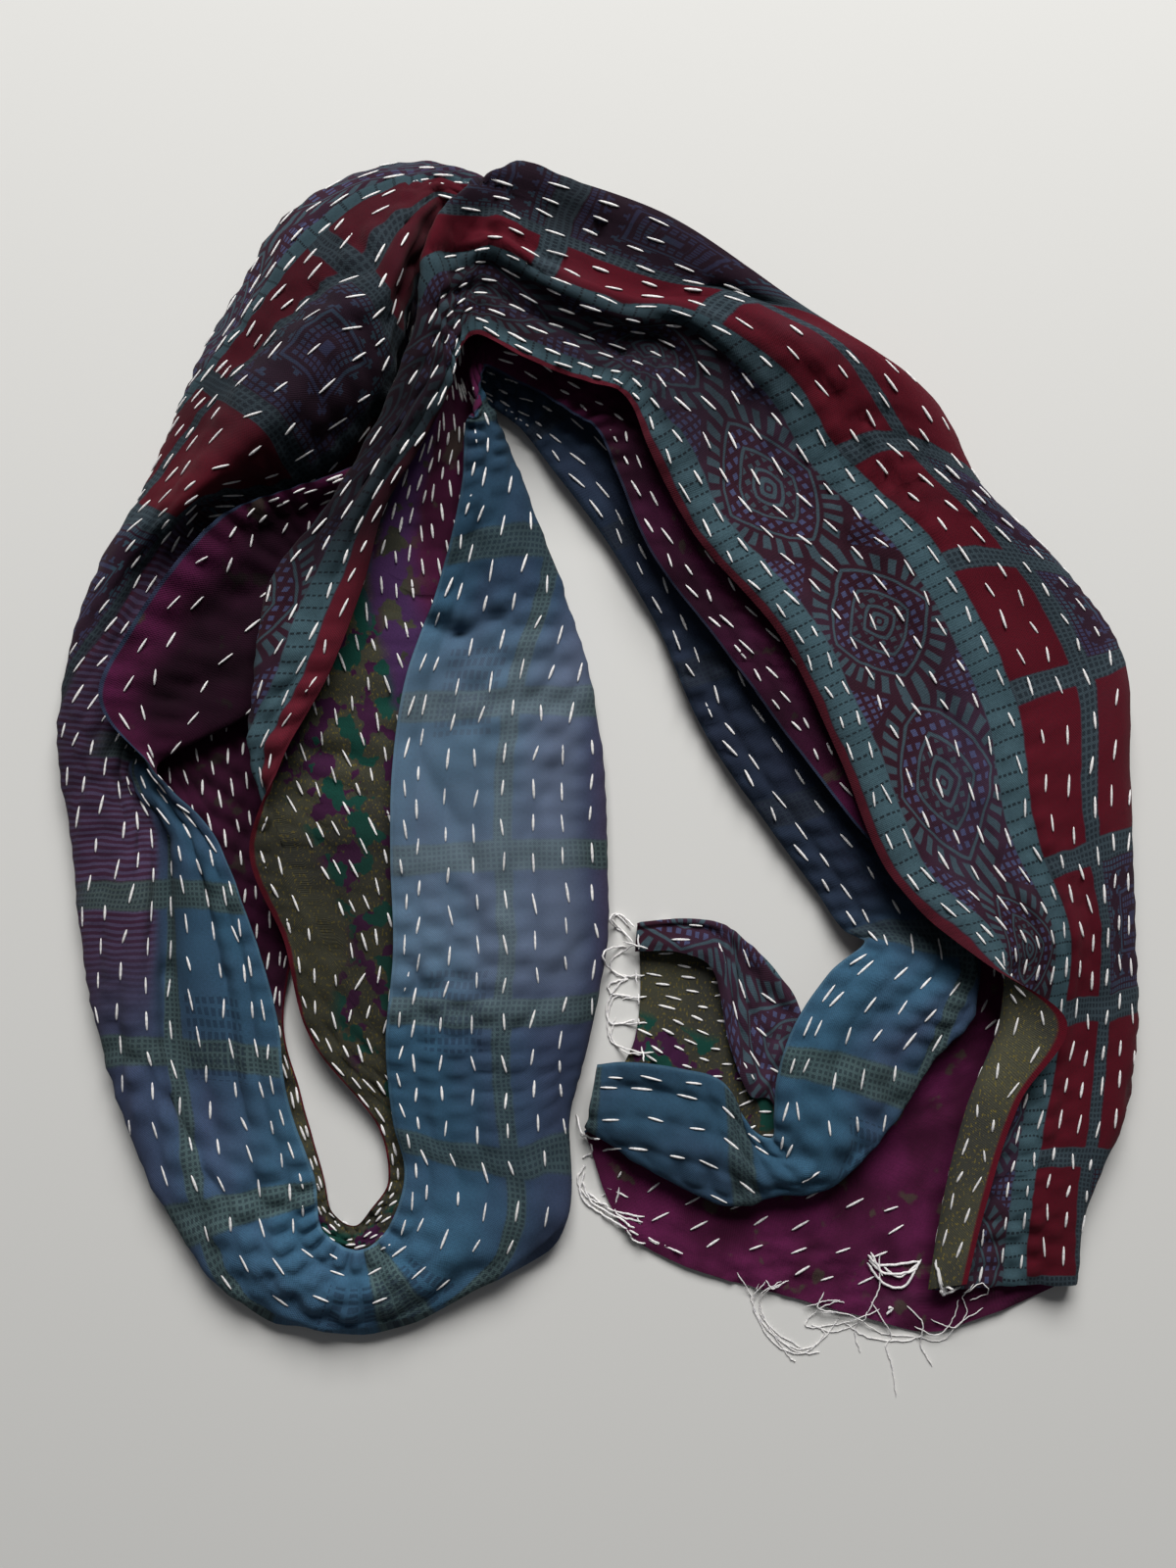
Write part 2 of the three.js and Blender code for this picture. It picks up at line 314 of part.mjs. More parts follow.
// One layer of cloth: its two faces stand off the middle of the scarf by near and far, and its four rims
// close it.
function layer(near, far) {
  const positions = [];
  for (const offset of [far, near]) {
    grid.forEach((row, i) => row.forEach((p, j) => {
      positions.push(...p.clone().addScaledVector(normals[i][j], offset * squeeze[i][j]).toArray());
    }));
  }
  const index = [];
  const lower = ROWS * COLS;
  const at = (i, j) => i * COLS + j;
  for (let i = 0; i < ROWS - 1; i += 1) {
    for (let j = 0; j < COLS - 1; j += 1) {
      const [a, b, c, d] = [at(i, j), at(i, j + 1), at(i + 1, j), at(i + 1, j + 1)];
      index.push(a, b, d, a, d, c);
      index.push(lower + a, lower + d, lower + b, lower + a, lower + c, lower + d);
    }
  }
  const rim = (p, q) => index.push(p, q, lower + q, p, lower + q, lower + p);
  for (let i = 0; i < ROWS - 1; i += 1) {
    rim(at(i, 0), at(i + 1, 0));
    rim(at(i + 1, COLS - 1), at(i, COLS - 1));
  }
  for (let j = 0; j < COLS - 1; j += 1) {
    rim(at(0, j + 1), at(0, j));
    rim(at(ROWS - 1, j), at(ROWS - 1, j + 1));
  }
  const geometry = new THREE.BufferGeometry();
  geometry.setAttribute("position", new THREE.Float32BufferAttribute(positions, 3));
  geometry.setIndex(index);
  geometry.computeVertexNormals();
  return geometry;
}

// A fringe is a flat comb along part of an end: a narrow band, and tapering threads out of it.
function fringe(section, { lines, side, bottom, band, threads }) {
  const end = lines.map((line) => new THREE.Vector2(section[line][0], section[line][1]));
  const lengths = end.slice(1).map((p, k) => p.distanceTo(end[k]));
  const total = lengths.reduce((a, b) => a + b, 0);
  const out = lengths.map((length, k) => {
    const run = end[k + 1].clone().sub(end[k]).divideScalar(length);
    return new THREE.Vector2(run.y * side, -run.x * side);
  });
  const outAt = (k) => {
    const [p, q] = [out[Math.max(0, k - 1)], out[Math.min(out.length - 1, k)]];
    const sum = p.clone().add(q).normalize();
    return sum.divideScalar(sum.dot(q));
  };
  const inner = end.map((p, k) => p.clone().addScaledVector(outAt(k), GAP));
  const outer = end.map((p, k) => p.clone().addScaledVector(outAt(k), GAP + band));
  const tip = 0.8;
  const outline = [...inner].reverse();
  outer.forEach((p, k) => {
    outline.push(p);
    if (k === outer.length - 1) return;
    const start = lengths.slice(0, k).reduce((a, b) => a + b, 0) / total;
    const share = lengths[k] / total;
    const run = outer[k + 1].clone().sub(p).normalize();
    threads.filter(({ at }) => at > start && at < start + share).forEach(({ at, long, lean }) => {
      const root = p.clone().lerp(outer[k + 1], (at - start) / share);
      const point = root.clone().addScaledVector(out[k], long - band).addScaledVector(run, lean);
      outline.push(root.clone().addScaledVector(run, -tip), point.clone().addScaledVector(run, -tip / 2));
      outline.push(point.clone().addScaledVector(run, tip / 2), root.clone().addScaledVector(run, tip));
    });
  });
  const geometry = new THREE.ExtrudeGeometry(new THREE.Shape(outline), { depth: THREAD, bevelEnabled: false });
  geometry.translate(0, 0, bottom);
  return geometry;
}

const cloth = (color) => new THREE.MeshStandardMaterial({ color, roughness: 0.92, metalness: 0 });

function piece(name, geometry, color) {
  const mesh = new THREE.Mesh(geometry, cloth(color));
  mesh.name = name;
  return mesh;
}

const scarf = new THREE.Group();
scarf.add(
  piece("front_cloth", layer(GAP / 2, GAP / 2 + CLOTH), 0x4c5f78),
  piece("back_cloth", layer(-GAP / 2 - CLOTH, -GAP / 2), 0x5b3a44),
  piece("fringe_one", fringe(SECTIONS[ROWS - 1], FRINGE_ONE), 0xd9d4cc),
  piece("fringe_two", fringe(SECTIONS[0], FRINGE_TWO), 0xd9d4cc),
);

// The origin is under the middle of the scarf's footprint, on the surface that it lies on.
const box = new THREE.Box3().setFromObject(scarf, true);
const middle = box.getCenter(new THREE.Vector3());
scarf.position.set(-middle.x, -middle.y, -box.min.z);

export default scarf;
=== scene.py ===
import math
import random

import bmesh
import bpy
import numpy as np
from mathutils import Matrix, Vector


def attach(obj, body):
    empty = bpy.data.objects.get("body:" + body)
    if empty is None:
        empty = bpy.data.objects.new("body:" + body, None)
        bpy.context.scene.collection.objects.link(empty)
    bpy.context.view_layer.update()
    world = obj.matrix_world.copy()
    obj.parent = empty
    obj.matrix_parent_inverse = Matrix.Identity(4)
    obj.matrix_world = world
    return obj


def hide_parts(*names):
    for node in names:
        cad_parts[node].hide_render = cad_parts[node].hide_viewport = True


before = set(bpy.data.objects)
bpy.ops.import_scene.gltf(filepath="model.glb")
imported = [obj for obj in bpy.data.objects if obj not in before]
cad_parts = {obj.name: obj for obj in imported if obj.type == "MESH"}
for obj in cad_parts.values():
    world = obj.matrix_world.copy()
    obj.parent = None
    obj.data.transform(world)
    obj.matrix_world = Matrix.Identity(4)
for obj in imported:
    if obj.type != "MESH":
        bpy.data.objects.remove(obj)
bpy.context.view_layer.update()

# ---- The lie of the scarf ----------------------------------------------------------------------------
# Two layers of old sari cloth quilted together, folded lengthwise and laid down in a loose knot-like heap.
# Each section runs across the strand from edge 1 to edge 2 and states, in millimetres, the x, y and height
# of the lines that shape it; the rest lie evenly between.  The strand runs from end two to end one.
MIDDLE = (-3.4852, 0.9982, -0.05)       # from the sections' own origin to the frame's, in mm
LINES = [
    "edge1", "lip1", "fore1", "fore2", "fore3", "foldR", "under1", "under2",
    "foldL", "top1", "top2", "top3", "top4", "inner", "lip2", "edge2",
]
ROUNDED = ("foldR", "foldL")
ROUND = 1.8             # mm from the middle of a doubled fold up to its upper line and down to its lower one
FOLD_REACH = 4.0        # mm from the middle of an open fold to the line on either side of it
SECTIONS = [
    dict(at="end two", edge1=(144, -190, 12), lip1=(130, -193, 9.5), fore1=(150.5, -193.5, 6),
         fore3=(170.5, -192, 8), foldR=(187, -191.5, 5.5), under1=(164.5, -201.5, 2.4),
         foldL=(132.5, -213, 1.2), top2=(93.5, -202.5, 1.2), inner=(51, -191, 1.2),
         lip2=(15, -173, 1.2), edge2=(-1.5, -134, 1.2)),
    dict(at="spread over the plum piece", edge1=(150.5, -160, 15), lip1=(134.5, -162.5, 12),
         fore1=(154.5, -166.5, 8), fore3=(175, -164, 12), foldR=(189.5, -165.5, 7),
         under1=(170.5, -175, 2.5), foldL=(131, -186, 1.4), top2=(101.5, -179, 1.2),
         inner=(72, -170.5, 1.2), lip2=(34, -151.5, 1.2), edge2=(19, -121.5, 1.2)),
    dict(at="spread narrowing", edge1=(162.5, -120, 18), lip1=(143, -124, 15), fore1=(162.5, -127, 10),
         fore3=(184, -124.5, 14), foldR=(205, -124, 8), under1=(181.5, -132.5, 2.5),
         foldL=(151.5, -142, 1.6), top2=(132.5, -132.5, 1.2), inner=(110, -121.5, 1.2),
         lip2=(93, -110, 1.2), edge2=(79.5, -102.5, 1.2)),
    dict(at="first pleats", edge1=(177, -86, 26), lip1=(156, -87, 17), fore1=(169.5, -91.5, 13),
         fore3=(190.5, -89, 16), foldR=(209, -86, 9), under1=(197, -89.5, 2.6),
         foldL=(180, -92.5, 1.4), edge2=(143, -92.5, 1.2)),
    dict(at="pleats under the U-turn", edge1=(145, -64.5, 28), lip1=(153.5, -63, 24),
         fore1=(169, -59.5, 21), fore3=(189, -53, 21), foldR=(206.5, -48.5, 12),
         under1=(196.5, -52, 3), foldL=(181.5, -56, 3), top4=(165.5, -59.5, 6), edge2=(149, -63, 5)),
    dict(at="right band, foot", edge1=(113.5, -35.5, 26), lip1=(122, -32, 25), fore1=(141, -25, 22),
         fore3=(174, -13, 23), foldR=(205.5, -2, 11), under1=(193, -7.5, 2.6), under2=(162.5, -17, 3),
         foldL=(148.5, -20.5, 12), top2=(139, -23, 15), edge2=(116.5, -33.5, 17)),
    dict(at="right band, low", edge1=(93, 11.5, 25), lip1=(101.5, 15.5, 25), fore1=(125, 24, 21),
         fore3=(161, 36.5, 23), foldR=(202.5, 49.5, 10), under1=(187.5, 45.5, 2.6),
         under2=(132.5, 26.5, 3), foldL=(121, 23, 12), top2=(111, 20, 15), edge2=(82, 9, 17)),
    dict(at="right band, middle", edge1=(72, 54.5, 25), lip1=(80, 58.5, 25), fore1=(101, 70, 21),
         fore3=(137, 87.5, 25), foldR=(180.5, 80, 12), under1=(166.5, 75.5, 2.6),
         under2=(115.5, 60.5, 3), foldL=(104.5, 56.5, 12), top2=(92.5, 53.5, 15), edge2=(52.5, 49, 17)),
    dict(at="right band, high", edge1=(39.5, 93, 25), lip1=(48, 97.5, 25), fore1=(73.5, 114, 20),
         fore3=(109, 127, 28), foldR=(149, 111.5, 13), under1=(136, 109.5, 2.6), under2=(88.5, 100, 4),
         foldL=(77.5, 95, 13), top2=(65, 92, 15), edge2=(23, 88.5, 17)),
    dict(at="right band, top", edge1=(22.5, 124.5, 27), lip1=(30.5, 129.5, 27), fore1=(53, 147, 21),
         fore3=(82.5, 162, 33), foldR=(124, 148, 17), under1=(109, 147, 6), under2=(71, 138, 11),
         foldL=(61.5, 133.5, 14), top2=(52, 128, 15), edge2=(10.5, 118, 18)),
    dict(at="gathering", edge1=(15, 143, 28), fore1=(33, 165, 22), fore2=(41.5, 172.5, 28),
         fore3=(49, 180.5, 25), foldR=(84.5, 174.5, 20), under1=(71, 167.5, 12),
         foldL=(44.5, 152.5, 13), top2=(33.5, 145, 14), edge2=(3.5, 133, 17)),
    dict(at="gathering more", edge1=(0, 149, 29), fore1=(5.5, 166, 25), fore2=(11, 173.5, 33),
         fore3=(14.5, 181, 29), foldR=(36.5, 208, 22), under1=(29.5, 200.5, 14), foldL=(15, 171, 14),
         top2=(9.5, 161.5, 14), edge2=(-7.5, 140.5, 17)),
    dict(at="gathered", edge1=(-23.5, 157.5, 30), fore1=(-20, 176.5, 27), fore2=(-16, 185.5, 35),
         fore3=(-13.5, 194, 31), foldR=(-3.5, 222.5, 26), under1=(-7.5, 215, 15),
         foldL=(-15, 185.5, 14), top2=(-18, 176.5, 14), edge2=(-25, 151, 16)),
    dict(at="gathered, before the turn", edge1=(-42, 166.5, 30), fore1=(-40, 187, 28),
         fore2=(-36, 200, 35), fore3=(-35, 207, 32), foldR=(-30.5, 226.5, 30), under1=(-32, 223, 19),
         foldL=(-35.5, 198.5, 14), top2=(-36.5, 187.5, 14.5), edge2=(-39, 157, 17)),
    dict(at="turn, start", edge1=(-46.5, 162.5, 28), fore1=(-47, 178, 28), fore2=(-47.5, 190, 30),
         fore3=(-48.5, 198.5, 31), foldR=(-50, 212.5, 35), under1=(-48.5, 205.5, 21),
         foldL=(-44, 184, 14), top2=(-42.5, 173.5, 15), edge2=(-40, 154, 18)),
    dict(at="turn, middle", edge1=(-49, 153.5, 30), fore1=(-50.5, 164, 32), fore2=(-51.5, 172, 35),
         fore3=(-53, 180.5, 37), foldR=(-59, 196.5, 35), under1=(-55, 187, 22),
         under2=(-50, 174.5, 14), foldL=(-46, 166.5, 13), top2=(-44.5, 160.5, 14.5),
         edge2=(-41, 148, 18.5)),
    dict(at="turn, end", edge1=(-51.5, 143.5, 31), fore1=(-53, 151, 33), fore3=(-57.5, 160.5, 35),
         foldR=(-63.5, 167.5, 32), under1=(-58.5, 161, 21), under2=(-47, 153.5, 10),
         foldL=(-40, 149, 12.5), top2=(-40.5, 146, 15), top4=(-41.5, 141.5, 18.5),
         edge2=(-42.5, 138, 20.5)),
    dict(at="loop begins", edge1=(-58, 130, 31), fore1=(-60.5, 135, 33), fore3=(-64.5, 141, 34),
         foldR=(-71.5, 146, 30), under1=(-62.5, 139.5, 21), under2=(-41.5, 140.5, 4.6),
         foldL=(-35.5, 139, 8), top1=(-37, 137.5, 14), top4=(-42, 136.5, 18), edge2=(-46, 136.5, 18)),
    dict(at="loop, inner side, top", edge1=(-73, 105.5, 31), fore1=(-78, 106.5, 32),
         fore3=(-84, 107, 33), foldR=(-91.5, 109.5, 28), under1=(-74, 110.5, 18), under2=(-38, 121, 4),
         foldL=(-28, 122, 6), top1=(-31.5, 120.5, 12), top4=(-41.5, 117, 17), edge2=(-47.5, 114.5, 17)),
    dict(at="inner side 1", edge1=(-83.5, 72.5, 29), fore1=(-92, 72.5, 30), fore3=(-105, 72.5, 30),
         foldR=(-118.5, 73, 24), under1=(-92.5, 74, 17), under2=(-30.5, 76.5, 3),
         foldL=(-11.5, 77.5, 6), top1=(-18, 77.5, 12), top2=(-29.5, 77, 15), top4=(-44, 76, 14),
         edge2=(-57, 74, 16)),
    dict(at="inner side 2", edge1=(-96.5, 40, 27), fore1=(-103.5, 40, 28), fore3=(-113, 40, 28),
         foldR=(-124, 40.5, 22), under1=(-103.5, 40.5, 16), under2=(-22.5, 42.5, 3),
         foldL=(-0.5, 43.5, 6), top1=(-7, 43, 12), top2=(-20.5, 43, 15), top4=(-48.5, 41, 13),
         edge2=(-69, 40, 16)),
    dict(at="inner side 3, lip narrow", edge1=(-113, 11, 26), fore1=(-115, 11, 25.5),
         fore3=(-122.5, 10.5, 22), foldR=(-126.5, 10, 18), under1=(-104.5, 9, 12),
         under2=(-22.5, 9, 3), foldL=(5, 9.5, 6), top1=(-2, 9.5, 12), top2=(-18.5, 10.5, 15),
         top4=(-50.5, 9, 12), edge2=(-74, 7.5, 15)),
    dict(at="inner side 4, lip laid back", edge1=(-127.5, -24.5, 19), foldR=(-114.5, -25.5, 12.5),
         under1=(-93.5, -26, 10), under2=(-22.5, -25, 3), foldL=(6.5, -23.5, 6), top1=(-1, -23, 12),
         top2=(-18.5, -23, 15), top4=(-50.5, -24.5, 11), edge2=(-75, -26, 14)),
    dict(at="inner side 5", edge1=(-115.5, -59.5, 13), foldR=(-99, -61.5, 9.5),
         under1=(-80.5, -62.5, 8), under2=(-22.5, -63, 3), foldL=(6.5, -60, 6), top1=(-1, -60.5, 12),
         top2=(-19.5, -61, 15), top4=(-50.5, -62, 11), edge2=(-74, -62, 13)),
    dict(at="inner side 6", edge1=(-106, -97.5, 8), under1=(-68, -101, 5), under2=(-30.5, -100.5, 3),
         foldL=(0, -98, 6), top1=(-6.5, -98.5, 12), top2=(-24, -101, 14), top4=(-56, -101, 11),
         edge2=(-77, -99, 12)),
    dict(at="inner side, foot", edge1=(-80.5, -132, 5), under2=(-30.5, -134, 3), foldL=(-7.5, -128, 6),
         top1=(-13.5, -129, 12), top2=(-28, -133.5, 15), top4=(-56, -132.5, 12),
         edge2=(-74.5, -127.5, 11)),
    dict(at="bottom 1", edge1=(-77, -153, 3), under2=(-32, -164.5, 2.4), foldL=(-10, -169.5, 6),
         top1=(-17, -166, 12), top2=(-31.5, -162.5, 15), top4=(-56, -155, 12), edge2=(-70, -150.5, 11)),
    dict(at="bottom 2", edge1=(-83.5, -163.5, 2.5), under2=(-55, -183.5, 2.2),
         foldL=(-40.5, -192.5, 6), top1=(-45, -187, 12), top2=(-55.5, -180, 15), top4=(-69, -172, 12),
         edge2=(-76, -168.5, 11)),
    dict(at="bottom 3, lowest", edge1=(-90.5, -170.5, 2.5), under2=(-90.5, -197, 2.2),
         foldL=(-90.5, -210, 6), top1=(-89.5, -202.5, 12), top2=(-88.5, -193.5, 15),
         top4=(-88.5, -185, 12), edge2=(-88, -177.5, 11)),
    dict(at="bottom 4", edge1=(-98.5, -165, 2.5), under2=(-123, -188, 2.2), foldL=(-134.5, -197.5, 6),
         top1=(-128, -191, 12), top2=(-120.5, -184, 15), top4=(-110, -177, 12), edge2=(-101, -170, 11)),
    dict(at="bottom 5", edge1=(-102, -151.5, 2.5), under2=(-144, -159, 2.2), foldL=(-162, -161.5, 6),
         top1=(-153, -158.5, 12), top2=(-141, -155.5, 15), top4=(-121, -153.5, 12),
         edge2=(-104, -150.5, 11)),
    dict(at="outer side 1", edge1=(-110.5, -121, 2.2), under2=(-165, -117.5, 2),
         foldL=(-181, -116.5, 6), top1=(-172.5, -115.5, 12), top2=(-161.5, -115, 14),
         top3=(-151.5, -116.5, 10), top4=(-132, -117.5, 14), edge2=(-114, -120, 13)),
    dict(at="outer side 2", edge1=(-117.5, -93, 2.2), under2=(-174, -84, 2), foldL=(-190, -83, 6),
         top1=(-182, -82, 12), top2=(-167, -82.5, 14), top3=(-160, -83, 10), top4=(-139, -83.5, 15),
         edge2=(-118.5, -86, 14)),
    dict(at="outer side 3", edge1=(-113.5, -58.5, 2.2), under2=(-178, -48.5, 2), foldL=(-195, -48, 6),
         top1=(-186.5, -47.5, 12), top2=(-171, -47.5, 14), top3=(-164.5, -47, 10),
         top4=(-146.5, -46.5, 15), edge2=(-129.5, -49, 15)),
    dict(at="outer side 4", edge1=(-113.5, -28.5, 2.2), under2=(-181, -19, 2), foldL=(-197.5, -19, 6),
         top1=(-189.5, -18.5, 12), top2=(-174.5, -18.5, 14), top3=(-168, -18, 10),
         top4=(-156, -18.5, 14), edge2=(-142, -19, 17)),
    dict(at="lip stands up", edge1=(-114.5, -2, 2.2), under2=(-185.5, 7.5, 2), foldL=(-202, 9.5, 7),
         top1=(-193, 9, 13), top2=(-184, 8, 13), top3=(-178, 7.5, 12), top4=(-172.5, 6.5, 11.5),
         inner=(-165, 6.5, 11), lip2=(-164.5, 6, 15.5), edge2=(-163.5, 5.5, 20)),
    dict(at="lip turned in 1", edge1=(-115, 23.5, 2.2), under2=(-185.5, 35, 2), foldL=(-200.5, 36, 7),
         top1=(-192.5, 35, 13), top2=(-182.5, 34.5, 12), top4=(-153.5, 31.5, 9), inner=(-129, 27, 11),
         lip2=(-155.5, 29.5, 15), edge2=(-182.5, 32, 24)),
    dict(at="lip turned in 2", edge1=(-111.5, 49, 2.2), under2=(-178, 60.5, 2),
         foldL=(-193.5, 65.5, 7), top1=(-185, 63, 14), top2=(-177, 59.5, 12), top4=(-150, 52.5, 9),
         inner=(-115.5, 44, 12), lip2=(-143, 51, 15), edge2=(-171, 57.5, 25)),
    dict(at="lip turned in 3", edge1=(-106, 57, 2.2), under2=(-166.5, 81.5, 2), foldL=(-183, 89.5, 8),
         top1=(-173, 87.5, 20), top2=(-167.5, 85, 13), top4=(-140.5, 75, 8), inner=(-106, 59.5, 12),
         lip2=(-130, 70.5, 15), edge2=(-153.5, 82, 27)),
    dict(at="big roll 1", edge1=(-96.5, 68, 2.2), under2=(-151.5, 98.5, 2), foldL=(-168.5, 112.5, 9),
         top1=(-158.5, 107.5, 23), top2=(-149, 102.5, 32), top3=(-147.5, 99, 18),
         top4=(-127.5, 88, 7.5), inner=(-94, 74.5, 12), lip2=(-115, 85.5, 15), edge2=(-137, 99, 28)),
    dict(at="big roll 2", edge1=(-85, 81.5, 2.2), under2=(-136.5, 123, 2), foldL=(-157, 138.5, 10),
         top1=(-142, 130.5, 26), top2=(-128.5, 120, 38), top3=(-124, 113, 22),
         top4=(-112.5, 104.5, 7.5), inner=(-84, 89.5, 12), lip2=(-98.5, 100, 15),
         edge2=(-116, 108, 28)),
    dict(at="big roll 3", edge1=(-77.5, 102, 2.2), under2=(-125, 144, 2), foldL=(-146.5, 162.5, 10),
         top1=(-129, 152, 27), top2=(-110, 138, 40), top3=(-101.5, 122, 24), top4=(-95.5, 116.5, 8),
         inner=(-74.5, 104.5, 12), lip2=(-84.5, 111, 15), edge2=(-95.5, 115, 26)),
    dict(at="big roll 4", edge1=(-70, 125, 2.2), under2=(-106, 163, 2), foldL=(-132.5, 187, 10),
         top1=(-112.5, 173.5, 28), top2=(-92, 159.5, 42), top3=(-81.5, 136, 28), top4=(-79, 129.5, 8),
         inner=(-68, 123.5, 10), lip2=(-73, 124.5, 12), edge2=(-80, 125, 16)),
    dict(at="crest, lip turned out", edge1=(-63.5, 147.5, 2.2), under2=(-87, 193, 2),
         foldL=(-110.5, 218.5, 10), top1=(-92.5, 200.5, 29), top2=(-75, 180.5, 42),
         top3=(-69.5, 166.5, 35), top4=(-70.5, 160.5, 8), inner=(-64.5, 150.5, 7),
         edge2=(-60.5, 144.5, 12)),
    dict(at="crest end", edge1=(-57, 159, 1.8), under2=(-72, 204.5, 1.8), foldL=(-84.5, 232.5, 11),
         top1=(-73.5, 216, 27), top2=(-66.5, 200, 37), top3=(-64.5, 192, 24), top4=(-63, 182, 7),
         inner=(-58.5, 165.5, 6.5), edge2=(-56.5, 155.5, 8)),
    dict(at="dives under the turn", edge1=(-50, 155.5, 1.6), under2=(-56, 212.5, 1.6),
         foldL=(-60, 236.5, 8), top1=(-58, 230.5, 13), top2=(-56.5, 224.5, 14), top3=(-54.5, 217, 8),
         top4=(-52.5, 199.5, 6), inner=(-50.5, 165.5, 5.8), edge2=(-49.5, 152.5, 5.8)),
    dict(at="under the turn", edge1=(-41, 150, 1.4), under2=(-38, 212.5, 1.4), foldL=(-38, 232, 4),
         top1=(-37.5, 227, 7), top2=(-37.5, 214.5, 6.4), top4=(-39.5, 173, 5.8),
         edge2=(-41.5, 147.5, 5.8)),
    dict(at="tail 1", edge1=(-26.5, 142.5, 1.3), under2=(-7.5, 186, 1.4), foldL=(0, 203, 4),
         top1=(-1.5, 198.5, 6.5), top2=(-7.5, 184.5, 6.4), top4=(-22, 152.5, 6),
         edge2=(-28, 138.5, 5.8)),
    dict(at="tail 2", edge1=(-9.5, 126, 1.3), under2=(28.5, 142, 1.3), foldL=(42.5, 150.5, 3.6),
         top1=(39, 147.5, 6.2), top2=(28, 141, 6.6), top4=(0, 128.5, 8), edge2=(-14.5, 122, 6)),
    dict(at="tail 3", edge1=(8.5, 99.5, 1.3), under2=(47.5, 114, 1.3), foldL=(62.5, 120, 3.6),
         top1=(58.5, 118, 6.2), top2=(47, 113, 6.6), top4=(20.5, 103, 8.5), edge2=(4.5, 97, 6)),
    dict(at="tail 4", edge1=(32, 61.5, 1.3), under2=(72, 73, 1.3), foldL=(87, 78.5, 3.6),
         top1=(83, 76.5, 6.2), top2=(71.5, 72, 7), top4=(43, 63.5, 9), edge2=(27, 59.5, 6)),
    dict(at="tail 5", edge1=(49.5, 23.5, 1.3), under2=(91, 36, 1.3), foldL=(106, 41, 3.6),
         top1=(102, 39.5, 6.2), top2=(90, 35.5, 7), top4=(60, 27, 9), edge2=(43.5, 22, 6)),
    dict(at="tail 6", edge1=(76.5, -16, 1.3), under2=(114, -4, 1.3), foldL=(127.5, 2.5, 3.6),
         top1=(124, 1, 6.2), top2=(112.5, -4, 7), top4=(86, -13.5, 9), edge2=(70.5, -18, 6)),
    dict(at="tail 7", edge1=(94, -39, 1.3), under2=(127, -29, 1.6), foldL=(139.5, -24, 4),
         top1=(136, -25, 6.6), top2=(125.5, -28.5, 7.6), top4=(101, -36.5, 9), edge2=(88, -42, 6.5)),
    dict(at="tail 8, under the right band", edge1=(104.5, -54, 2.4), under2=(132.5, -50, 3),
         foldL=(145.5, -47, 5.4), top1=(141.5, -47.5, 8.2), top2=(131, -49.5, 9.2),
         top4=(110, -51.5, 10.5), edge2=(98, -56, 8.5)),
    dict(at="U-turn 1", edge1=(111, -59.5, 6), under2=(136.5, -65.5, 5.6), foldL=(148, -69, 8),
         top1=(144, -68.5, 11), top2=(133, -66, 13), top4=(115, -61, 15), edge2=(105, -59.5, 13)),
    dict(at="U-turn 2", edge1=(99.5, -75, 8.5), under2=(133.5, -83.5, 7.5), foldL=(146.5, -87.5, 9.6),
         top1=(143, -86.5, 13), top2=(130, -82, 17), top4=(105, -73.5, 19), edge2=(92, -70.5, 15)),
    dict(at="blue piece 1", edge1=(84.5, -94.5, 9), under2=(118.5, -100, 7.5), foldL=(132, -104, 9.6),
         top1=(128, -102.5, 13), top2=(115.5, -98, 17), top4=(90, -92, 19), edge2=(78, -91, 15)),
    dict(at="flap starts", edge1=(82, -99, 12.5), foldR=(83, -101.5, 7), under1=(92.5, -115, 6.8),
         under2=(105, -122, 7.5), foldL=(118, -126, 9.6), top1=(114.5, -124.5, 13),
         top2=(103.5, -120, 17), top4=(82, -113.5, 18), edge2=(71.5, -112, 14)),
    dict(at="flap 1", edge1=(74.5, -127.5, 11), foldR=(81.5, -103, 6), under1=(86, -124.5, 5.2),
         under2=(94, -138.5, 6.5), foldL=(105, -142, 9.6), top1=(101.5, -140.5, 13),
         top2=(93, -136.5, 17), top4=(77.5, -130, 17), edge2=(70, -128.5, 13)),
    dict(at="flap 2", edge1=(69.5, -120.5, 9), foldR=(81.5, -88.5, 4.4), under1=(81, -117, 4.6),
         under2=(89, -143, 5.2), foldL=(92.5, -154, 8), top1=(89.5, -151.5, 12), top2=(83.5, -147, 15),
         top4=(74.5, -140, 13), edge2=(69.5, -135, 12)),
    dict(at="flap 3", edge1=(62, -119, 9.5), foldR=(72.5, -73, 4.2), under1=(70, -109.5, 4.8),
         under2=(71.5, -146.5, 5), foldL=(73, -157, 7.8), top1=(72, -153.5, 11), top2=(70, -149, 13),
         top4=(65.5, -139, 11), edge2=(62, -131, 10)),
    dict(at="flap 4", edge1=(54.5, -101, 9), foldR=(62, -62.5, 4), under1=(57.5, -102, 4.4),
         under2=(57.5, -148, 5), foldL=(57, -161, 7.2), top1=(56, -156, 11), top2=(55, -149, 13),
         top4=(53.5, -127, 11), edge2=(52.5, -114.5, 10)),
    dict(at="flap narrowing", edge1=(48.5, -71.5, 8), foldR=(51, -54.5, 4.2), under1=(46, -98, 3.6),
         under2=(38.5, -141.5, 5), foldL=(37.5, -154.5, 7.2), top1=(37, -150.5, 11),
         top2=(36.5, -142, 13), top4=(36, -119.5, 11), edge2=(35, -108.5, 10)),
    dict(at="end piece", edge1=(34.5, -64.5, 7.4), foldR=(36.5, -52.5, 4), under1=(33.5, -98.5, 3.4),
         under2=(20.5, -132, 5), foldL=(19.5, -144.5, 7.2), top1=(18.5, -140.5, 11),
         top2=(18, -133, 13), top4=(17, -115, 11), edge2=(15.5, -106, 10)),
    dict(at="end one", edge1=(18, -64, 7), foldR=(19, -54, 4), under1=(18, -98.5, 3.2),
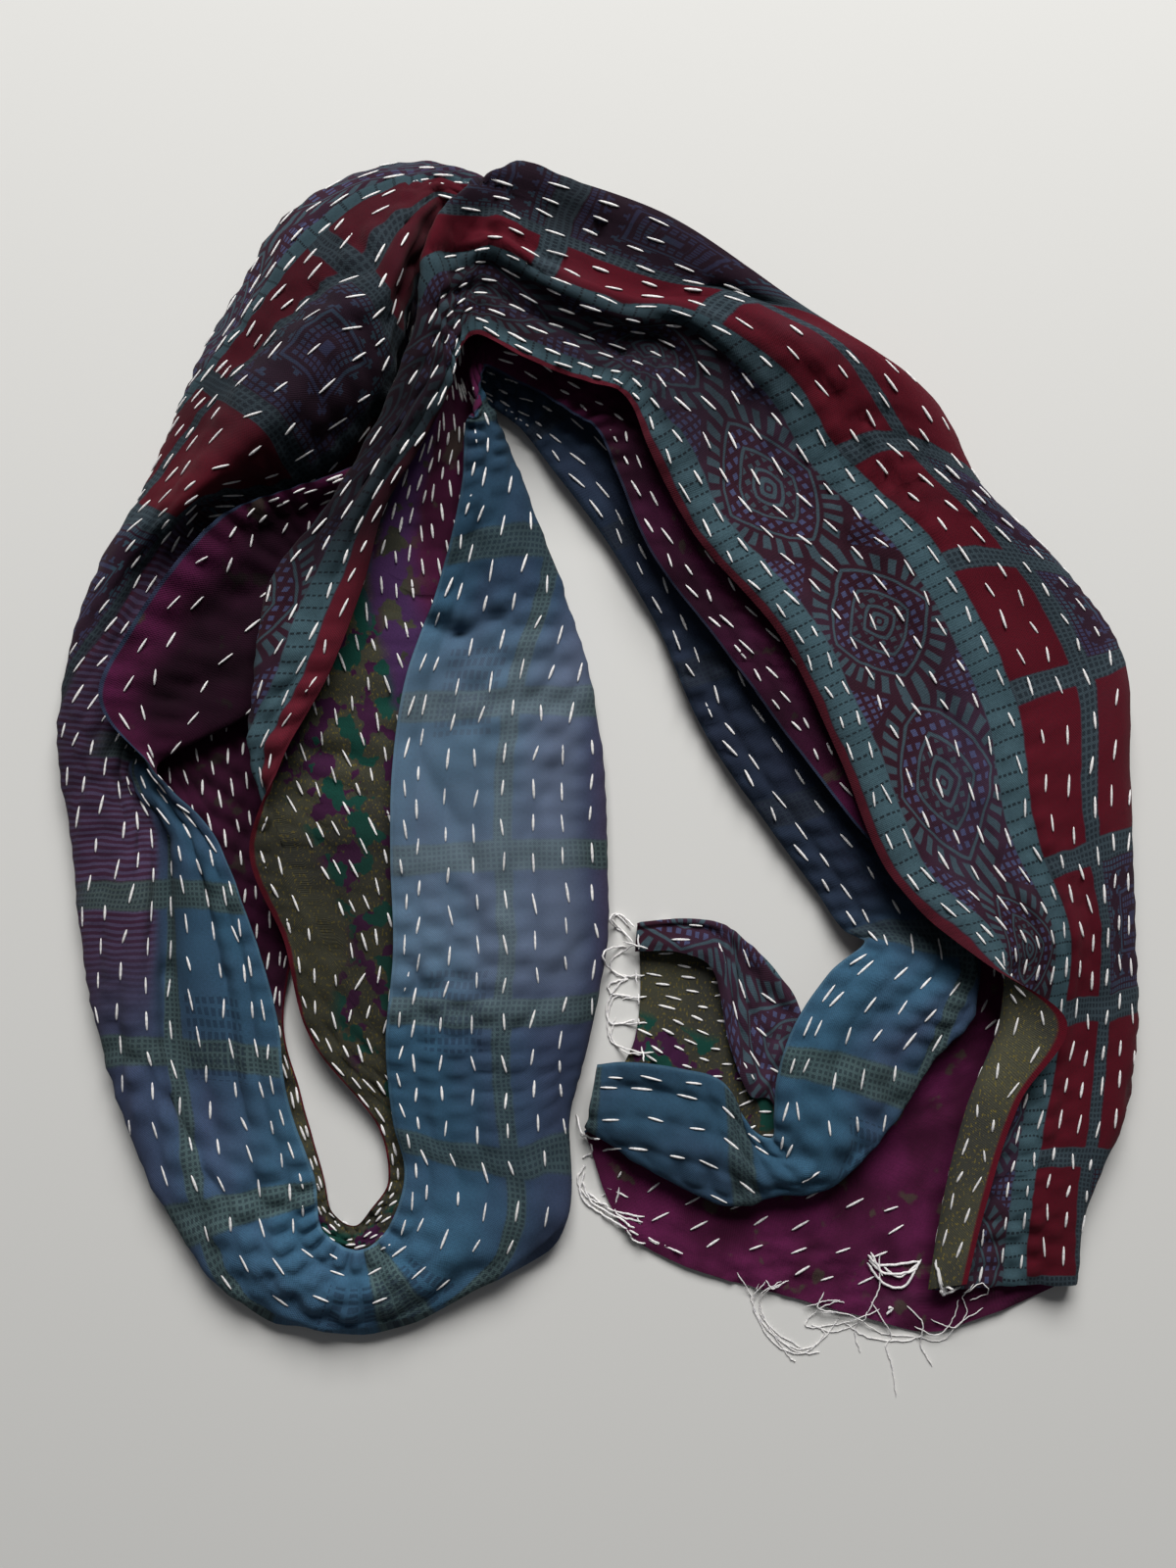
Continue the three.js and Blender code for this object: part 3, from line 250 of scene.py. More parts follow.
         under2=(5.5, -121.5, 5), foldL=(-1, -131, 7), top1=(0, -127.5, 11), top2=(0.5, -123, 12),
         top4=(2.5, -113, 11), edge2=(3.5, -107, 10)),
]


def section_points(section):
    """The section's lines in order; one that isn't stated lies evenly between its neighbours."""
    points = [np.array(section[line], float) if line in section else None for line in LINES]
    start = 0
    for i in range(1, len(points)):
        if points[i] is None:
            continue
        for k in range(start + 1, i):
            points[k] = points[start] + (points[i] - points[start]) * (k - start) / (i - start)
        start = i
    return points


def round_fold(before, fold, after):
    """A doubled-back fold becomes two lines one above the other; an open one, two lines side by side."""
    reach = [before - fold, after - fold]
    flat = [math.hypot(d[0], d[1]) + 1e-9 for d in reach]
    turn = (reach[0][0] * reach[1][0] + reach[0][1] * reach[1][1]) / (flat[0] * flat[1])
    doubled = min(1.0, max(0.0, (turn + 0.2) / 0.8))        # 0 where the cloth runs on, 1 where it turns back
    rise = ROUND if before[2] > after[2] else -ROUND
    pair = []
    for d, length, sign in zip(reach, flat, (1, -1)):
        p = fold + d * (1 - doubled) * min(FOLD_REACH, 0.45 * length) / length
        pair.append(p + np.array((0, 0, doubled * sign * rise)))
    return pair


def section_lines(section):
    """The section's lines, with each rounded fold as a pair."""
    points = section_points(section)
    lines = []
    for i, p in enumerate(points):
        lines += round_fold(points[i - 1], p, points[i + 1]) if LINES[i] in ROUNDED else [p]
    return lines


# Where the threads of the cloth lie: how far from edge 1, in mm, the named line is on the flat cloth.
# Between the named lines the cloth is spread evenly along the section.
WIDTH = 300.0
THREADS = {
    "end two": dict(lip1=18, foldR=100, foldL=128),
    "spread over the plum piece": dict(lip1=18, foldR=106, foldL=172),
    "spread narrowing": dict(lip1=20, foldR=124, foldL=224),
    "first pleats": dict(lip1=22, foldR=134, foldL=272),
    "pleats under the U-turn": dict(lip1=10, foldR=136, foldL=272),
    "right band, foot": dict(lip1=9, foldR=130, foldL=266),
    "right band, low": dict(lip1=9, foldR=124, foldL=258),
    "right band, middle": dict(lip1=9, foldR=128, foldL=247),
    "right band, high": dict(lip1=10, foldR=142, foldL=244),
    "right band, top": dict(lip1=10, foldR=150, foldL=245),
    "gathering": dict(foldR=150, foldL=254),
    "gathering more": dict(foldR=150, foldL=262),
    "gathered": dict(foldR=150, foldL=264),
    "gathered, before the turn": dict(foldR=140, foldL=258),
    "turn, start": dict(foldR=110, foldL=268),
    "turn, middle": dict(foldR=80, foldL=280),
    "turn, end": dict(foldR=56, foldL=285),
    "loop begins": dict(foldR=44, foldL=284),
    "loop, inner side, top": dict(foldR=40, foldL=276),
    "inner side 1": dict(foldR=37, foldL=250),
    "inner side 2": dict(foldR=29, foldL=228),
    "inner side 3, lip narrow": dict(foldR=16, foldL=216),
    "inner side 4, lip laid back": dict(foldR=15, foldL=214),
    "inner side 5": dict(foldR=17, foldL=216),
    "inner side 6": dict(foldL=220),
    "inner side, foot": dict(foldL=230),
    "bottom 1": dict(foldL=236),
    "bottom 2": dict(foldL=254),
    "bottom 3, lowest": dict(foldL=264),
    "bottom 4": dict(foldL=254),
    "bottom 5": dict(foldL=240),
    "outer side 1": dict(foldL=226),
    "outer side 2": dict(foldL=216, top2=245),
    "outer side 3": dict(foldL=204, top2=236),
    "outer side 4": dict(foldL=190, top1=205, top2=222, top3=240, top4=266),
    "lip stands up": dict(foldL=175, top1=192, top2=208, top3=222, top4=258),
    "lip turned in 1": dict(foldL=158, top1=175, top2=190, top3=212, top4=250),
    "lip turned in 2": dict(foldL=138, top1=153, top2=172, top3=205, top4=245),
    "lip turned in 3": dict(foldL=120, top1=140, top2=160, top3=195, top4=240, inner=265),
    "big roll 1": dict(foldL=98, top1=125, top2=150, top3=185, top4=238, inner=263),
    "big roll 2": dict(foldL=70, top1=120, top2=137, top3=152, top4=178, inner=215, lip2=255),
    "big roll 3": dict(foldL=35, top1=107, top2=131, top3=155, top4=170, inner=215, lip2=255),
    "big roll 4": dict(foldL=30, top1=100, top2=131, top3=158, top4=180, inner=220, lip2=260),
    "crest, lip turned out": dict(foldL=30, top1=88, top2=115, top3=150, top4=180, inner=225),
    "crest end": dict(foldL=30, top1=90, top2=115, top3=150, top4=190),
    "dives under the turn": dict(foldL=30, top2=100),
    "under the turn": dict(foldL=60),
    "tail 1": dict(foldL=150),
    "tail 2": dict(foldL=237),
    "tail 3": dict(foldL=237),
    "tail 4": dict(foldL=237),
    "tail 5": dict(foldL=235),
    "tail 6": dict(foldL=240),
    "tail 7": dict(foldL=246),
    "tail 8, under the right band": dict(foldL=252),
    "U-turn 1": dict(foldL=252),
    "U-turn 2": dict(foldL=240),
    "blue piece 1": dict(foldL=240),
    "flap starts": dict(foldR=6, foldL=248),
    "flap 1": dict(foldR=26, foldL=262),
    "flap 2": dict(foldR=35, foldL=268),
    "flap 3": dict(foldR=46, foldL=270),
    "flap 4": dict(foldR=40, foldL=254),
    "flap narrowing": dict(foldR=17, foldL=254),
    "end piece": dict(foldR=12, foldL=260),
    "end one": dict(foldR=10, foldL=274),
}

lines = np.array([section_lines(s) for s in SECTIONS]) + np.array(MIDDLE)
LINE_NAMES = [n for line in LINES for n in ((line, line) if line in ROUNDED else (line,))]


def spread(row, section):
    """Distance from edge 1 on the flat cloth, for each line of a section."""
    run = np.concatenate([[0], np.cumsum(np.linalg.norm(np.diff(row, axis=0), axis=1))])
    stated = dict(THREADS[section["at"]], edge1=0.0, edge2=WIDTH)
    at = [(run[i], stated[n]) for i, n in enumerate(LINE_NAMES) if n in stated]
    at = [at[0]] + [b for a, b in zip(at, at[1:]) if b[0] > a[0] + 1e-6]
    return np.interp(run, [a for a, _ in at], [b for _, b in at])


threads = np.array([spread(row, s) for row, s in zip(lines, SECTIONS)])


def through(points, knots, steps):
    """A smooth curve through points along axis 0 (Hermite, spaced by knots), steps[i] pieces per span."""
    gap = np.maximum(np.diff(knots, axis=0), 1e-6)[..., None]
    slope = np.diff(points, axis=0) / gap
    tangent = np.empty_like(points)
    tangent[1:-1] = (gap[:-1] * slope[1:] + gap[1:] * slope[:-1]) / (gap[:-1] + gap[1:])
    tangent[0], tangent[-1] = slope[0], slope[-1]
    out = []
    for i, count in enumerate(steps):
        for k in range(count):
            t = k / count
            h = gap[i]
            out.append(
                (2 * t**3 - 3 * t**2 + 1) * points[i] + (t**3 - 2 * t**2 + t) * h * tangent[i]
                + (3 * t**2 - 2 * t**3) * points[i + 1] + (t**3 - t**2) * h * tangent[i + 1]
            )
    out.append(points[-1])
    return np.array(out)


ALONG = 13                                                            # rows between two sections
ACROSS = [3, 6, 6, 7, 7, 3, 7, 9, 6, 3, 6, 8, 8, 8, 7, 6, 6]          # columns between two lines

mean_step = np.linalg.norm(np.diff(lines, axis=0), axis=2).mean(axis=1)
station = np.concatenate([[0], np.cumsum(mean_step)])                 # distance along the strand, mm
along = np.repeat(station[:, None], lines.shape[1], axis=1)
data = np.concatenate([lines, threads[..., None], along[..., None]], axis=2)
data = through(data, along, [ALONG] * (len(lines) - 1))
chord = np.linalg.norm(np.diff(data[..., :3], axis=1), axis=2)
chord = np.concatenate([np.zeros((len(data), 1)), np.cumsum(chord, axis=1)], axis=1)
data = np.swapaxes(through(np.swapaxes(data, 0, 1), chord.T, ACROSS), 0, 1)

# The cloth is a little longer on the outside of its bends, so distances along it are restated there.
BENDS = (
    (0, 54, 130, 188, 258, 299, 350, 482, 1240, 1288, 1900),          # mm along the strand
    (0, 60, 120, 180, 240, 300, 360, 480, 1260, 1320, 1935),          # mm along the flat cloth
)

# The flat coordinates stay in order across the cloth, whatever the smoothing does between the lines.
across_mm = np.maximum.accumulate(data[..., 3], axis=1)
along_mm = np.interp(data[..., 4], *BENDS)
station_mm = data[..., 4]
middle_mm = data[..., :3]
ROWS, COLS = across_mm.shape


def facings(surface):
    """The way the cloth looks at each point of its grid."""
    du = np.gradient(surface, axis=1)
    ds = np.gradient(surface, axis=0)
    n = np.cross(du, ds)
    return n / (np.linalg.norm(n, axis=2, keepdims=True) + 1e-9)


def ease(a, b, x):
    """0 up to a, 1 from b on, soft between."""
    t = np.clip((x - a) / (b - a), 0, 1)
    return t * t * (3 - 2 * t)


# Rows of running stitch draw the two layers together, so the cloth puckers in low ripples between them,
# strongest where it lies flat, with no two rows alike.
STITCH_ROW = 11.6       # mm between two rows of stitches
STITCH_PITCH = 15.0     # mm from one stitch to the next
HEM = 5.0               # mm from an edge to its stitched seam
PUCKER = 10.5           # mm from one pucker to the next
SUNK = 0.75             # mm that the cloth is drawn in along a row of stitches
SWELL = 1.25            # mm that a pucker swells between two rows
EDGE_WAVE = 0.55        # mm that the free edges wave
LEAST_HEIGHT = 0.75     # mm above the table for the middle of the quilt


def rough(x, y, seed):
    """A smooth uneven field between about -1 and 1."""
    rng = random.Random(seed)
    total = 0
    for _ in range(7):
        angle, wave, phase = rng.uniform(0, math.tau), rng.uniform(0.55, 1.9), rng.uniform(0, math.tau)
        total = total + np.sin((x * math.cos(angle) + y * math.sin(angle)) * wave + phase)
    return total / 3.2


row_of = across_mm / STITCH_ROW
lane = np.abs(row_of - np.round(row_of)) * 2                           # 0 on a row of stitches, 1 between
row_shift = 2.1 * np.sin(np.floor(row_of) * 2.4)
drift = 3.6 * rough(along_mm / 30, across_mm / 30, 3)
ripple = np.sin(along_mm * math.tau / PUCKER + row_shift + drift)
channel = -SUNK * (1 - ease(0, 0.6, lane))
swell = SWELL * ripple * ease(0.05, 0.7, lane) * (0.65 + 0.5 * rough(along_mm / 30, across_mm / 26, 5))
crumple = 0.4 * rough(along_mm / 15, across_mm / 11, 8) + 0.6 * rough(along_mm / 5, across_mm / 4, 21)
edge_mm = np.minimum(across_mm, WIDTH - across_mm)
edge_shift = 2 * rough(along_mm / 28, across_mm * 0, 11)
edge_wave = np.sin(along_mm / 7.5 + edge_shift) * (1 - ease(0, 9, edge_mm)) * EDGE_WAVE

# Creases and low ridges that the folding left, each between two places on the flat cloth: distance from
# edge 1 and along the strand for both, half its width and its height in mm, below zero for a trough.
CREASES = [
    (132, 540, 118, 470, 3.0, -2.6), (118, 470, 100, 400, 3.4, -2.0), (74, 530, 70, 450, 3.0, -2.4),
    (70, 450, 50, 380, 4.0, -2.0), (46, 540, 30, 440, 3.2, -2.2), (30, 440, 24, 360, 4.0, -1.6),
    (150, 1400, 138, 1350, 3.0, -2.4), (70, 1390, 62, 1310, 3.0, -2.2), (162, 1330, 150, 1300, 4.0, -2.0),
    (34, 600, 22, 640, 3.4, -1.8), (20, 560, 14, 620, 3.0, 1.4), (45, 1360, 48, 1290, 3.0, -1.8),
    (226, 1180, 216, 1100, 4.0, -1.4), (206, 1200, 200, 1120, 4.0, 1.2), (272, 640, 290, 600, 3.5, 1.4),
    (290, 700, 268, 740, 3.5, -1.2), (254, 1130, 253, 1069, 3.4, -3.4), (253, 1069, 252, 1019, 3.4, -3.2),
    (252, 1019, 264, 983, 3.4, -2.8), (278, 1106, 281, 1069, 2.8, -2.3), (281, 1069, 281, 1010, 2.8, -2.2),
    (292, 1080, 288, 1035, 2.2, -1.2), (268, 1150, 266, 1040, 4.5, 2.0), (240, 1120, 238, 1010, 4.5, 1.8),
    (300, 645, 284, 650, 3.0, -3.2), (300, 637, 288, 641, 3.2, 1.6), (284, 650, 262, 640, 3.2, -1.3),
    (298, 622, 278, 600, 3.0, -1.2), (262, 690, 250, 620, 4.5, 1.0), (276, 780, 268, 700, 4.0, -1.1),
    (252, 830, 246, 740, 4.5, -1.6), (286, 850, 290, 780, 3.5, -1.6), (240, 880, 262, 960, 4.0, -2.0),
    (262, 900, 278, 985, 4.0, -2.0), (108, 1372, 92, 1300, 3.5, -3.0), (122, 1365, 116, 1290, 4.5, 1.8),
    (140, 1370, 172, 1300, 4.0, -1.4), (88, 505, 84, 440, 4.0, -2.4), (98, 500, 96, 400, 4.5, 1.8),
    (60, 510, 40, 400, 5.0, -2.2), (112, 430, 104, 340, 4.0, -1.8), (70, 470, 64, 380, 3.5, 1.4),
    (146, 500, 128, 420, 4.5, 1.2), (96, 330, 88, 250, 5.0, -1.2), (58, 330, 52, 180, 6.0, 1.2),
    (20, 320, 22, 200, 5.0, -1.0), (90, 200, 84, 60, 5.0, -1.3), (108, 240, 104, 100, 5.0, 1.0),
    (76, 160, 70, 30, 4.0, 1.1), (262, 1700, 276, 1760, 4.0, -1.2), (280, 1800, 268, 1856, 3.5, 1.4),
    (286, 1830, 290, 1870, 3.0, -1.3), (180, 40, 200, 130, 6.0, 1.2), (232, 60, 226, 140, 6.0, -1.2),
    (232, 700, 262, 762, 3.6, -1.5), (272, 725, 293, 690, 3.0, -1.3), (225, 770, 250, 806, 3.4, -1.5),
    (242, 655, 236, 722, 3.4, -1.2), (280, 806, 297, 770, 3.0, -1.3), (246, 775, 276, 742, 4.0, 1.1),
    (298, 1196, 268, 1258, 3.0, -1.9), (293, 1246, 262, 1288, 3.0, -1.7), (284, 1182, 262, 1226, 2.8, -1.6),
    (272, 1215, 290, 1190, 3.6, 1.2), (236, 1040, 262, 1000, 3.4, -1.4), (226, 960, 250, 925, 3.4, -1.5),
    (20, 760, 34, 720, 2.8, -1.3), (30, 700, 14, 670, 3.0, -1.3), (124, 90, 150, 30, 4.0, -1.5),
    (150, 110, 178, 70, 4.0, 1.2), (92, 280, 112, 236, 3.4, -1.3), (80, 380, 98, 342, 3.2, -1.6),
    (40, 262, 60, 236, 3.2, -1.1), (34, 150, 62, 120, 3.4, -1.1),
]
folds = 0
for a, b, c, d, broad, rise in CREASES:
    du, ds = c - a, d - b
    along_it = np.clip(((across_mm - a) * du + (station_mm - b) * ds) / (du * du + ds * ds), 0, 1)
    off = np.hypot(across_mm - a - along_it * du, station_mm - b - along_it * ds)
    folds = folds + rise * np.exp(-((off / broad) ** 2))

# The puckers calm down where the cloth bends sharply.  A trough always sinks away from the side on top.
facing = facings(middle_mm)
face_up = np.where(facing[..., 2:] >= 0, 1.0, -1.0)
bend = 1 - np.sum(facing[:, :-2] * facing[:, 2:], axis=2)
bend = np.pad(bend, ((0, 0), (1, 1)), mode="edge")
bend = np.max([np.roll(bend, k, axis=1) for k in (-2, -1, 0, 1, 2)], axis=0)
calm = 1 / (1 + 7 * bend)
puckers = (channel + swell + crumple + edge_wave) * calm
quilt_mm = middle_mm + facing * puckers[..., None] + facing * face_up * folds[..., None]
quilt_mm[..., 2] = np.maximum(quilt_mm[..., 2], LEAST_HEIGHT)
facing = facings(quilt_mm)

# Half the quilt's thickness: the layers part a little between the stitches and come together at the hems
# and ends.
end_mm = np.minimum(along_mm, along_mm.max() - along_mm)
half = 0.12 + 0.48 * ease(0, 2.2, np.minimum(edge_mm, end_mm + 0.6)) + 0.16 * ease(0.1, 0.9, lane)
half = half * np.where(edge_mm <= 0.001, 0.0, 1.0)


def piece_of(bm, name):
    """A finished mesh as an object in the scene."""
    mesh = bpy.data.meshes.new(name)
    bm.to_mesh(mesh)
    bm.free()
    piece = bpy.data.objects.new(name, mesh)
    bpy.context.scene.collection.objects.link(piece)
    return piece


def sheet_mesh(name, side):
    """One layer: a grid of cloth moved onto the quilt, with its flat size as its UV map in metres."""
    bm = bmesh.new()
    bmesh.ops.create_grid(bm, x_segments=COLS - 1, y_segments=ROWS - 1, size=0.5)
    bm.verts.ensure_lookup_table()
    place = (quilt_mm + facing * (side * half)[..., None]) / 1000
    place[..., 2] = np.maximum(place[..., 2], 0.0001)
    flat = bm.loops.layers.uv.new("cloth")
    where = {}
    for v in bm.verts:
        j = round((v.co.x + 0.5) * (COLS - 1))
        i = round((v.co.y + 0.5) * (ROWS - 1))
        where[v.index] = (i, j)
        v.co = Vector(place[i, j])
    for face in bm.faces:
        face.smooth = True
        for loop in face.loops:
            i, j = where[loop.vert.index]
            loop[flat].uv = (across_mm[i, j] / 1000, along_mm[i, j] / 1000)
    if side < 0:
        bmesh.ops.reverse_faces(bm, faces=bm.faces)
    return piece_of(bm, name)


# ---- Front cloth ----------------------------------------------------------------------------------------
# The printed front: along edge 1 a teal stripe, a border of eye medallions, a row of red bricks and two
# columns of red and checked cells on maroon, then purple running into faded steel blue towards edge 2.
class Tone:
    """A value running through a material, so that shader maths reads as arithmetic."""

    def __init__(self, tree, socket):
        self.tree = tree
        self.socket = socket

    def math(self, operation, *others):
        values = dict(enumerate((self, *others)))
        node = new_node(self.tree, "ShaderNodeMath", dict(operation=operation), values)
        return Tone(self.tree, node.outputs[0])

    def __add__(self, other):
        return self.math("ADD", other)

    def __radd__(self, other):
        return self.math("ADD", other)

    def __sub__(self, other):
        return self.math("SUBTRACT", other)

    def __rsub__(self, other):
        return (self * -1) + other

    def __mul__(self, other):
        return self.math("MULTIPLY", other)

    def __rmul__(self, other):
        return self.math("MULTIPLY", other)

    def __truediv__(self, other):
        return self.math("DIVIDE", other)

    def __gt__(self, other):
        return self.math("GREATER_THAN", other)

    def __lt__(self, other):
        return self.math("LESS_THAN", other)

    def __abs__(self):
        return self.math("ABSOLUTE")

    def top(self, other):
        return self.math("MAXIMUM", other)

    def low(self, other):
        return self.math("MINIMUM", other)

    def rise(self, a, b):
        """0 below a, 1 above b, soft between."""
        sockets = {"Value": self, "From Min": a, "From Max": b}
        node = new_node(self.tree, "ShaderNodeMapRange", dict(interpolation_type="SMOOTHSTEP"), sockets)
        return Tone(self.tree, node.outputs["Result"])

    def between(self, a, b, soft=0.5):
        """1 from a to b, 0 outside, soft at both ends."""
        return self.rise(a - soft, a + soft) * (1 - self.rise(b - soft, b + soft))

    def saw(self, size):
        """Position inside repeats of the given size, from -size/2 to size/2."""
        return ((self / size).math("FRACT") - 0.5) * size

    def marks(self, pitch, half_width):
        """1 inside marks that repeat at a pitch, 0 between them."""
        return abs(self.saw(pitch)) < half_width


def feed(tree, socket, value):
    """Links a value to a socket, or sets it there."""
    if isinstance(value, Tone):
        tree.links.new(value.socket, socket)
    elif isinstance(value, bpy.types.NodeSocket):
        tree.links.new(value, socket)
    else:
        socket.default_value = value


def new_node(tree, kind, settings, sockets):
    """A node of a kind, its settings set first, then the value or link of each socket by name or number."""
    node = tree.nodes.new(kind)
    for key, value in settings.items():
        setattr(node, key, value)
    for key, value in sockets.items():
        feed(tree, node.inputs[key], value)
    return node


def shade(tone):
    """A colour written as its everyday hex value, in the linear numbers that a shader takes."""
    parts = [int(tone[i:i + 2], 16) / 255 for i in (0, 2, 4)]
    return (*[c / 12.92 if c <= 0.04045 else ((c + 0.055) / 1.055) ** 2.4 for c in parts], 1.0)


def blend(base, over, amount):
    """One colour laid over another, each a hex value or the outcome of an earlier blend."""
    base, over = (shade(colour) if isinstance(colour, str) else colour for colour in (base, over))
    colours = {"Factor": amount, 6: base, 7: over}
    return new_node(amount.tree, "ShaderNodeMix", dict(data_type="RGBA"), colours).outputs[2]


def noise(u, s, across, along, detail, seed):
    """Uneven field about 0.5, its spots across x along millimetres."""
    place = new_node(u.tree, "ShaderNodeCombineXYZ", {}, {"X": u / across, "Y": s / along, "Z": seed})
    sockets = {"Vector": place.outputs[0], "Scale": 1.0, "Detail": detail}
    node = new_node(u.tree, "ShaderNodeTexNoise", dict(noise_dimensions="3D"), sockets)
    return Tone(u.tree, node.outputs["Fac"])


def new_material(name, plain):
    """A material with the plain values of its surface set, and that surface."""
    material = bpy.data.materials.new(name)
    material.use_nodes = True
    surface = material.node_tree.nodes["Principled BSDF"]
    for key, value in plain.items():
        surface.inputs[key].default_value = value
    return material, surface


def relief(tree, surface, height, strength, depth):
    """Fine unevenness, its depth in metres."""
    bump = new_node(tree, "ShaderNodeBump", {}, {"Strength": strength, "Distance": depth, "Height": height})
    feed(tree, surface.inputs["Normal"], bump.outputs["Normal"])


COTTON = {"Roughness": 0.93, "Specular IOR Level": 0.08, "Sheen Weight": 0.03, "Sheen Roughness": 0.5}
THREAD_PITCH = 0.85             # mm between two threads of the weave
DARKENED = "07070a"             # the near-black that age and dirt lay over every colour; laid thinner as painted light in places
LAST_STRETCH = (1740, 1790)     # mm along the cloth, where both prints shift for the piece by end one


def flat_place(tree):
    """Where a point lies on the flat cloth, in mm: u is measured from edge 1, and s from end two."""
    uv = new_node(tree, "ShaderNodeUVMap", dict(uv_map="cloth"), {}).outputs["UV"]
    parts = new_node(tree, "ShaderNodeSeparateXYZ", {}, {"Vector": uv}).outputs
    return Tone(tree, parts[0]) * 1000, Tone(tree, parts[1]) * 1000


def wear(cloth, u, s, patches, patch_tone, patch_amount, grain_tone):
    """Old cotton: faded in patches, with a thread-by-thread grain.  Gives the colour and the grain."""
    cloth = blend(cloth, patch_tone, patches * patch_amount)
    grain = noise(u, s, 0.5, 1.4, 2, 31.0) * 0.5 + noise(u, s, 1.4, 0.5, 2, 33.0) * 0.5
    return blend(cloth, grain_tone, grain.rise(0.35, 0.7) * 0.28), grain


def lay_shade_and_tones(cloth, u, s, stretches, soft_along, soft_across):
    """Lays a tone over each stretch, as painted shade, painted light or the cloth's own tone: from and to
    along the cloth, from and to across it, how much.
    """
    for tone, from_s, to_s, from_u, to_u, amount in stretches:
        there = s.between(from_s, to_s, soft_along) * u.between(from_u, to_u, soft_across)
        cloth = blend(cloth, tone, there * amount)
    return cloth


def finish_cloth(sheet, material, surface, u, s, cloth, grain):
    """The colour, the relief of the weave, and the sheet that wears them."""
    tree = material.node_tree
    feed(tree, surface.inputs["Base Color"], cloth)
    weave = (u * (math.tau / THREAD_PITCH)).math("SINE") * (s * (math.tau / THREAD_PITCH)).math("SINE")
    relief(tree, surface, weave * 0.35 + grain * 0.9, 0.5, 0.0004)
    sheet.data.materials.append(material)


front = sheet_mesh("front_quilt", 1)
material, surface = new_material("front print", COTTON)
u0, s0 = flat_place(material.node_tree)

# The print strays a little from the threads.  By end one the hem is turned in deeper, and inside the loop
# the print is wider.
u = u0 + (noise(u0, s0, 22, 22, 2, 1.0) - 0.5) * 3.0
s = s0 + (noise(u0, s0, 22, 22, 2, 7.0) - 0.5) * 4.0
u = u + s0.rise(*LAST_STRETCH) * 15
u = u - s0.between(570, 800, 20) * (1 - u0.rise(50, 90)) * 6.5

# The bands of the print, in mm from edge 1, and how often each kind of figure repeats along the cloth.
FIRST_STRIPE, BORDER, SECOND_STRIPE = (3, 14), (14, 60), (60, 73)
BRICKS, COLUMN_ONE, COLUMN_TWO, LINED = (73, 99), (107, 155), (163, 211), (163, 250)
DOTTED_BAND, DASHED_BAND = (252, 259), (262, 285)
MEDALLION, CELL, CROSS_BAND, CLUSTER = 70.0, 60.0, 62.0, 128
MAROON, RED, TEAL, LILAC = "43202e", "6e1526", "56747f", "5f6690"
SLATE, BLUE, GREY = "4d5878", "42708d", "4d5d66"

cloth = blend(MAROON, "5a4a68", noise(u0, s0, 60, 90, 2, 3.0).rise(0.35, 0.7) * 0.4)

# The medallions: rings of lines and little crosses nested in a rounded diamond, a wreath of leaves
# round them, and dotted lilac diamonds between.
EYE_ALONG, EYE_ACROSS = 45, sum(BORDER) / 2
x = (s - EYE_ALONG).saw(MEDALLION)
y = u - EYE_ACROSS
reach = (x * x / 900 + y * y / 520).math("SQRT") * 0.55 + (abs(x) / 30 + abs(y) / 23) * 0.45
rings = reach.between(-1, 0.045, 0.01)
for inside, outside in ((0.09, 0.17), (0.25, 0.31), (0.52, 0.57), (0.86, 0.91)):
    rings = rings.top(reach.between(inside, outside, 0.012))
dots = x.marks(4.0, 1.05) * y.marks(4.0, 1.05)
ring_dots = dots * reach.between(0.33, 0.5, 0.01)
lilac_dots = dots * reach.between(0.6, 0.83, 0.01)
leaf_of = y.math("ARCTAN2", x) * (30 / math.tau)            # thirty leaves in the round
leaves = (1 - abs(leaf_of.saw(1.0)).rise(0.22, 0.3)) * reach.between(0.98, 1.27, 0.02)
beside = (s - (EYE_ALONG + MEDALLION / 2)).saw(MEDALLION)        # along, from midway between two eyes
corner = abs(beside) / 13 + (24 - abs(y)) / 15
small = beside.marks(3.4, 1.0) * y.marks(3.4, 1.0) * (1 - corner.rise(0.95, 1.0)) * (reach > 1.3)
border = u.between(*BORDER)
cloth = blend(cloth, TEAL, rings.top(leaves).top(ring_dots * 0.8) * border * 0.72)
cloth = blend(cloth, LILAC, lilac_dots.top(small) * border * 0.85)

# The teal stripes on both sides of the border, crossed by rows of short dark dashes.
teal_stripe = u.between(*FIRST_STRIPE).top(u.between(*SECOND_STRIPE))
cloth = blend(cloth, TEAL, teal_stripe)
cloth = blend(cloth, "22292f", s.marks(5.2, 0.42) * u.marks(2.3, 0.75) * teal_stripe * 0.85)

# Red bricks and the two columns of cells, with dotted cross bands between them.  Red and checked cells
# take turns, and change places where the print steps.
cross = 1 - abs(s.saw(CELL)).rise(25.0, 25.8)
brick = u.between(*BRICKS) * cross
column_one = u.between(*COLUMN_ONE) * cross
column_two = u.between(*COLUMN_TWO) * cross
even = (s / (2 * CELL)).math("FRACT") > 0.5
even = abs(even - s.between(300, 480, 0.5))
dotted = u.between(BRICKS[0], COLUMN_TWO[1]) * (1 - brick) * (1 - column_one) * (1 - column_two)
cloth = blend(cloth, blend(GREY, "2a333c", u.marks(2.3, 0.72) * s.marks(2.3, 0.72) * 0.8), dotted)
cloth = blend(cloth, RED, brick)
cloth = blend(cloth, RED, column_one * even + column_two * (1 - even))
square_cell = column_one * (1 - even) + column_two * even
cell_x = abs(s.saw(CELL))
cell_y = abs(u - sum(COLUMN_ONE) / 2).low(abs(u - sum(COLUMN_TWO) / 2))
nest = cell_x.top(cell_y)
spots = cell_x.marks(2.3, 0.8) * cell_y.marks(2.3, 0.8)
crosses = cell_x.marks(8, 2.2) * cell_y.marks(8, 0.9) + cell_x.marks(8, 0.9) * cell_y.marks(8, 2.2)
squares = nest.between(-1, 2.4, 0.3)
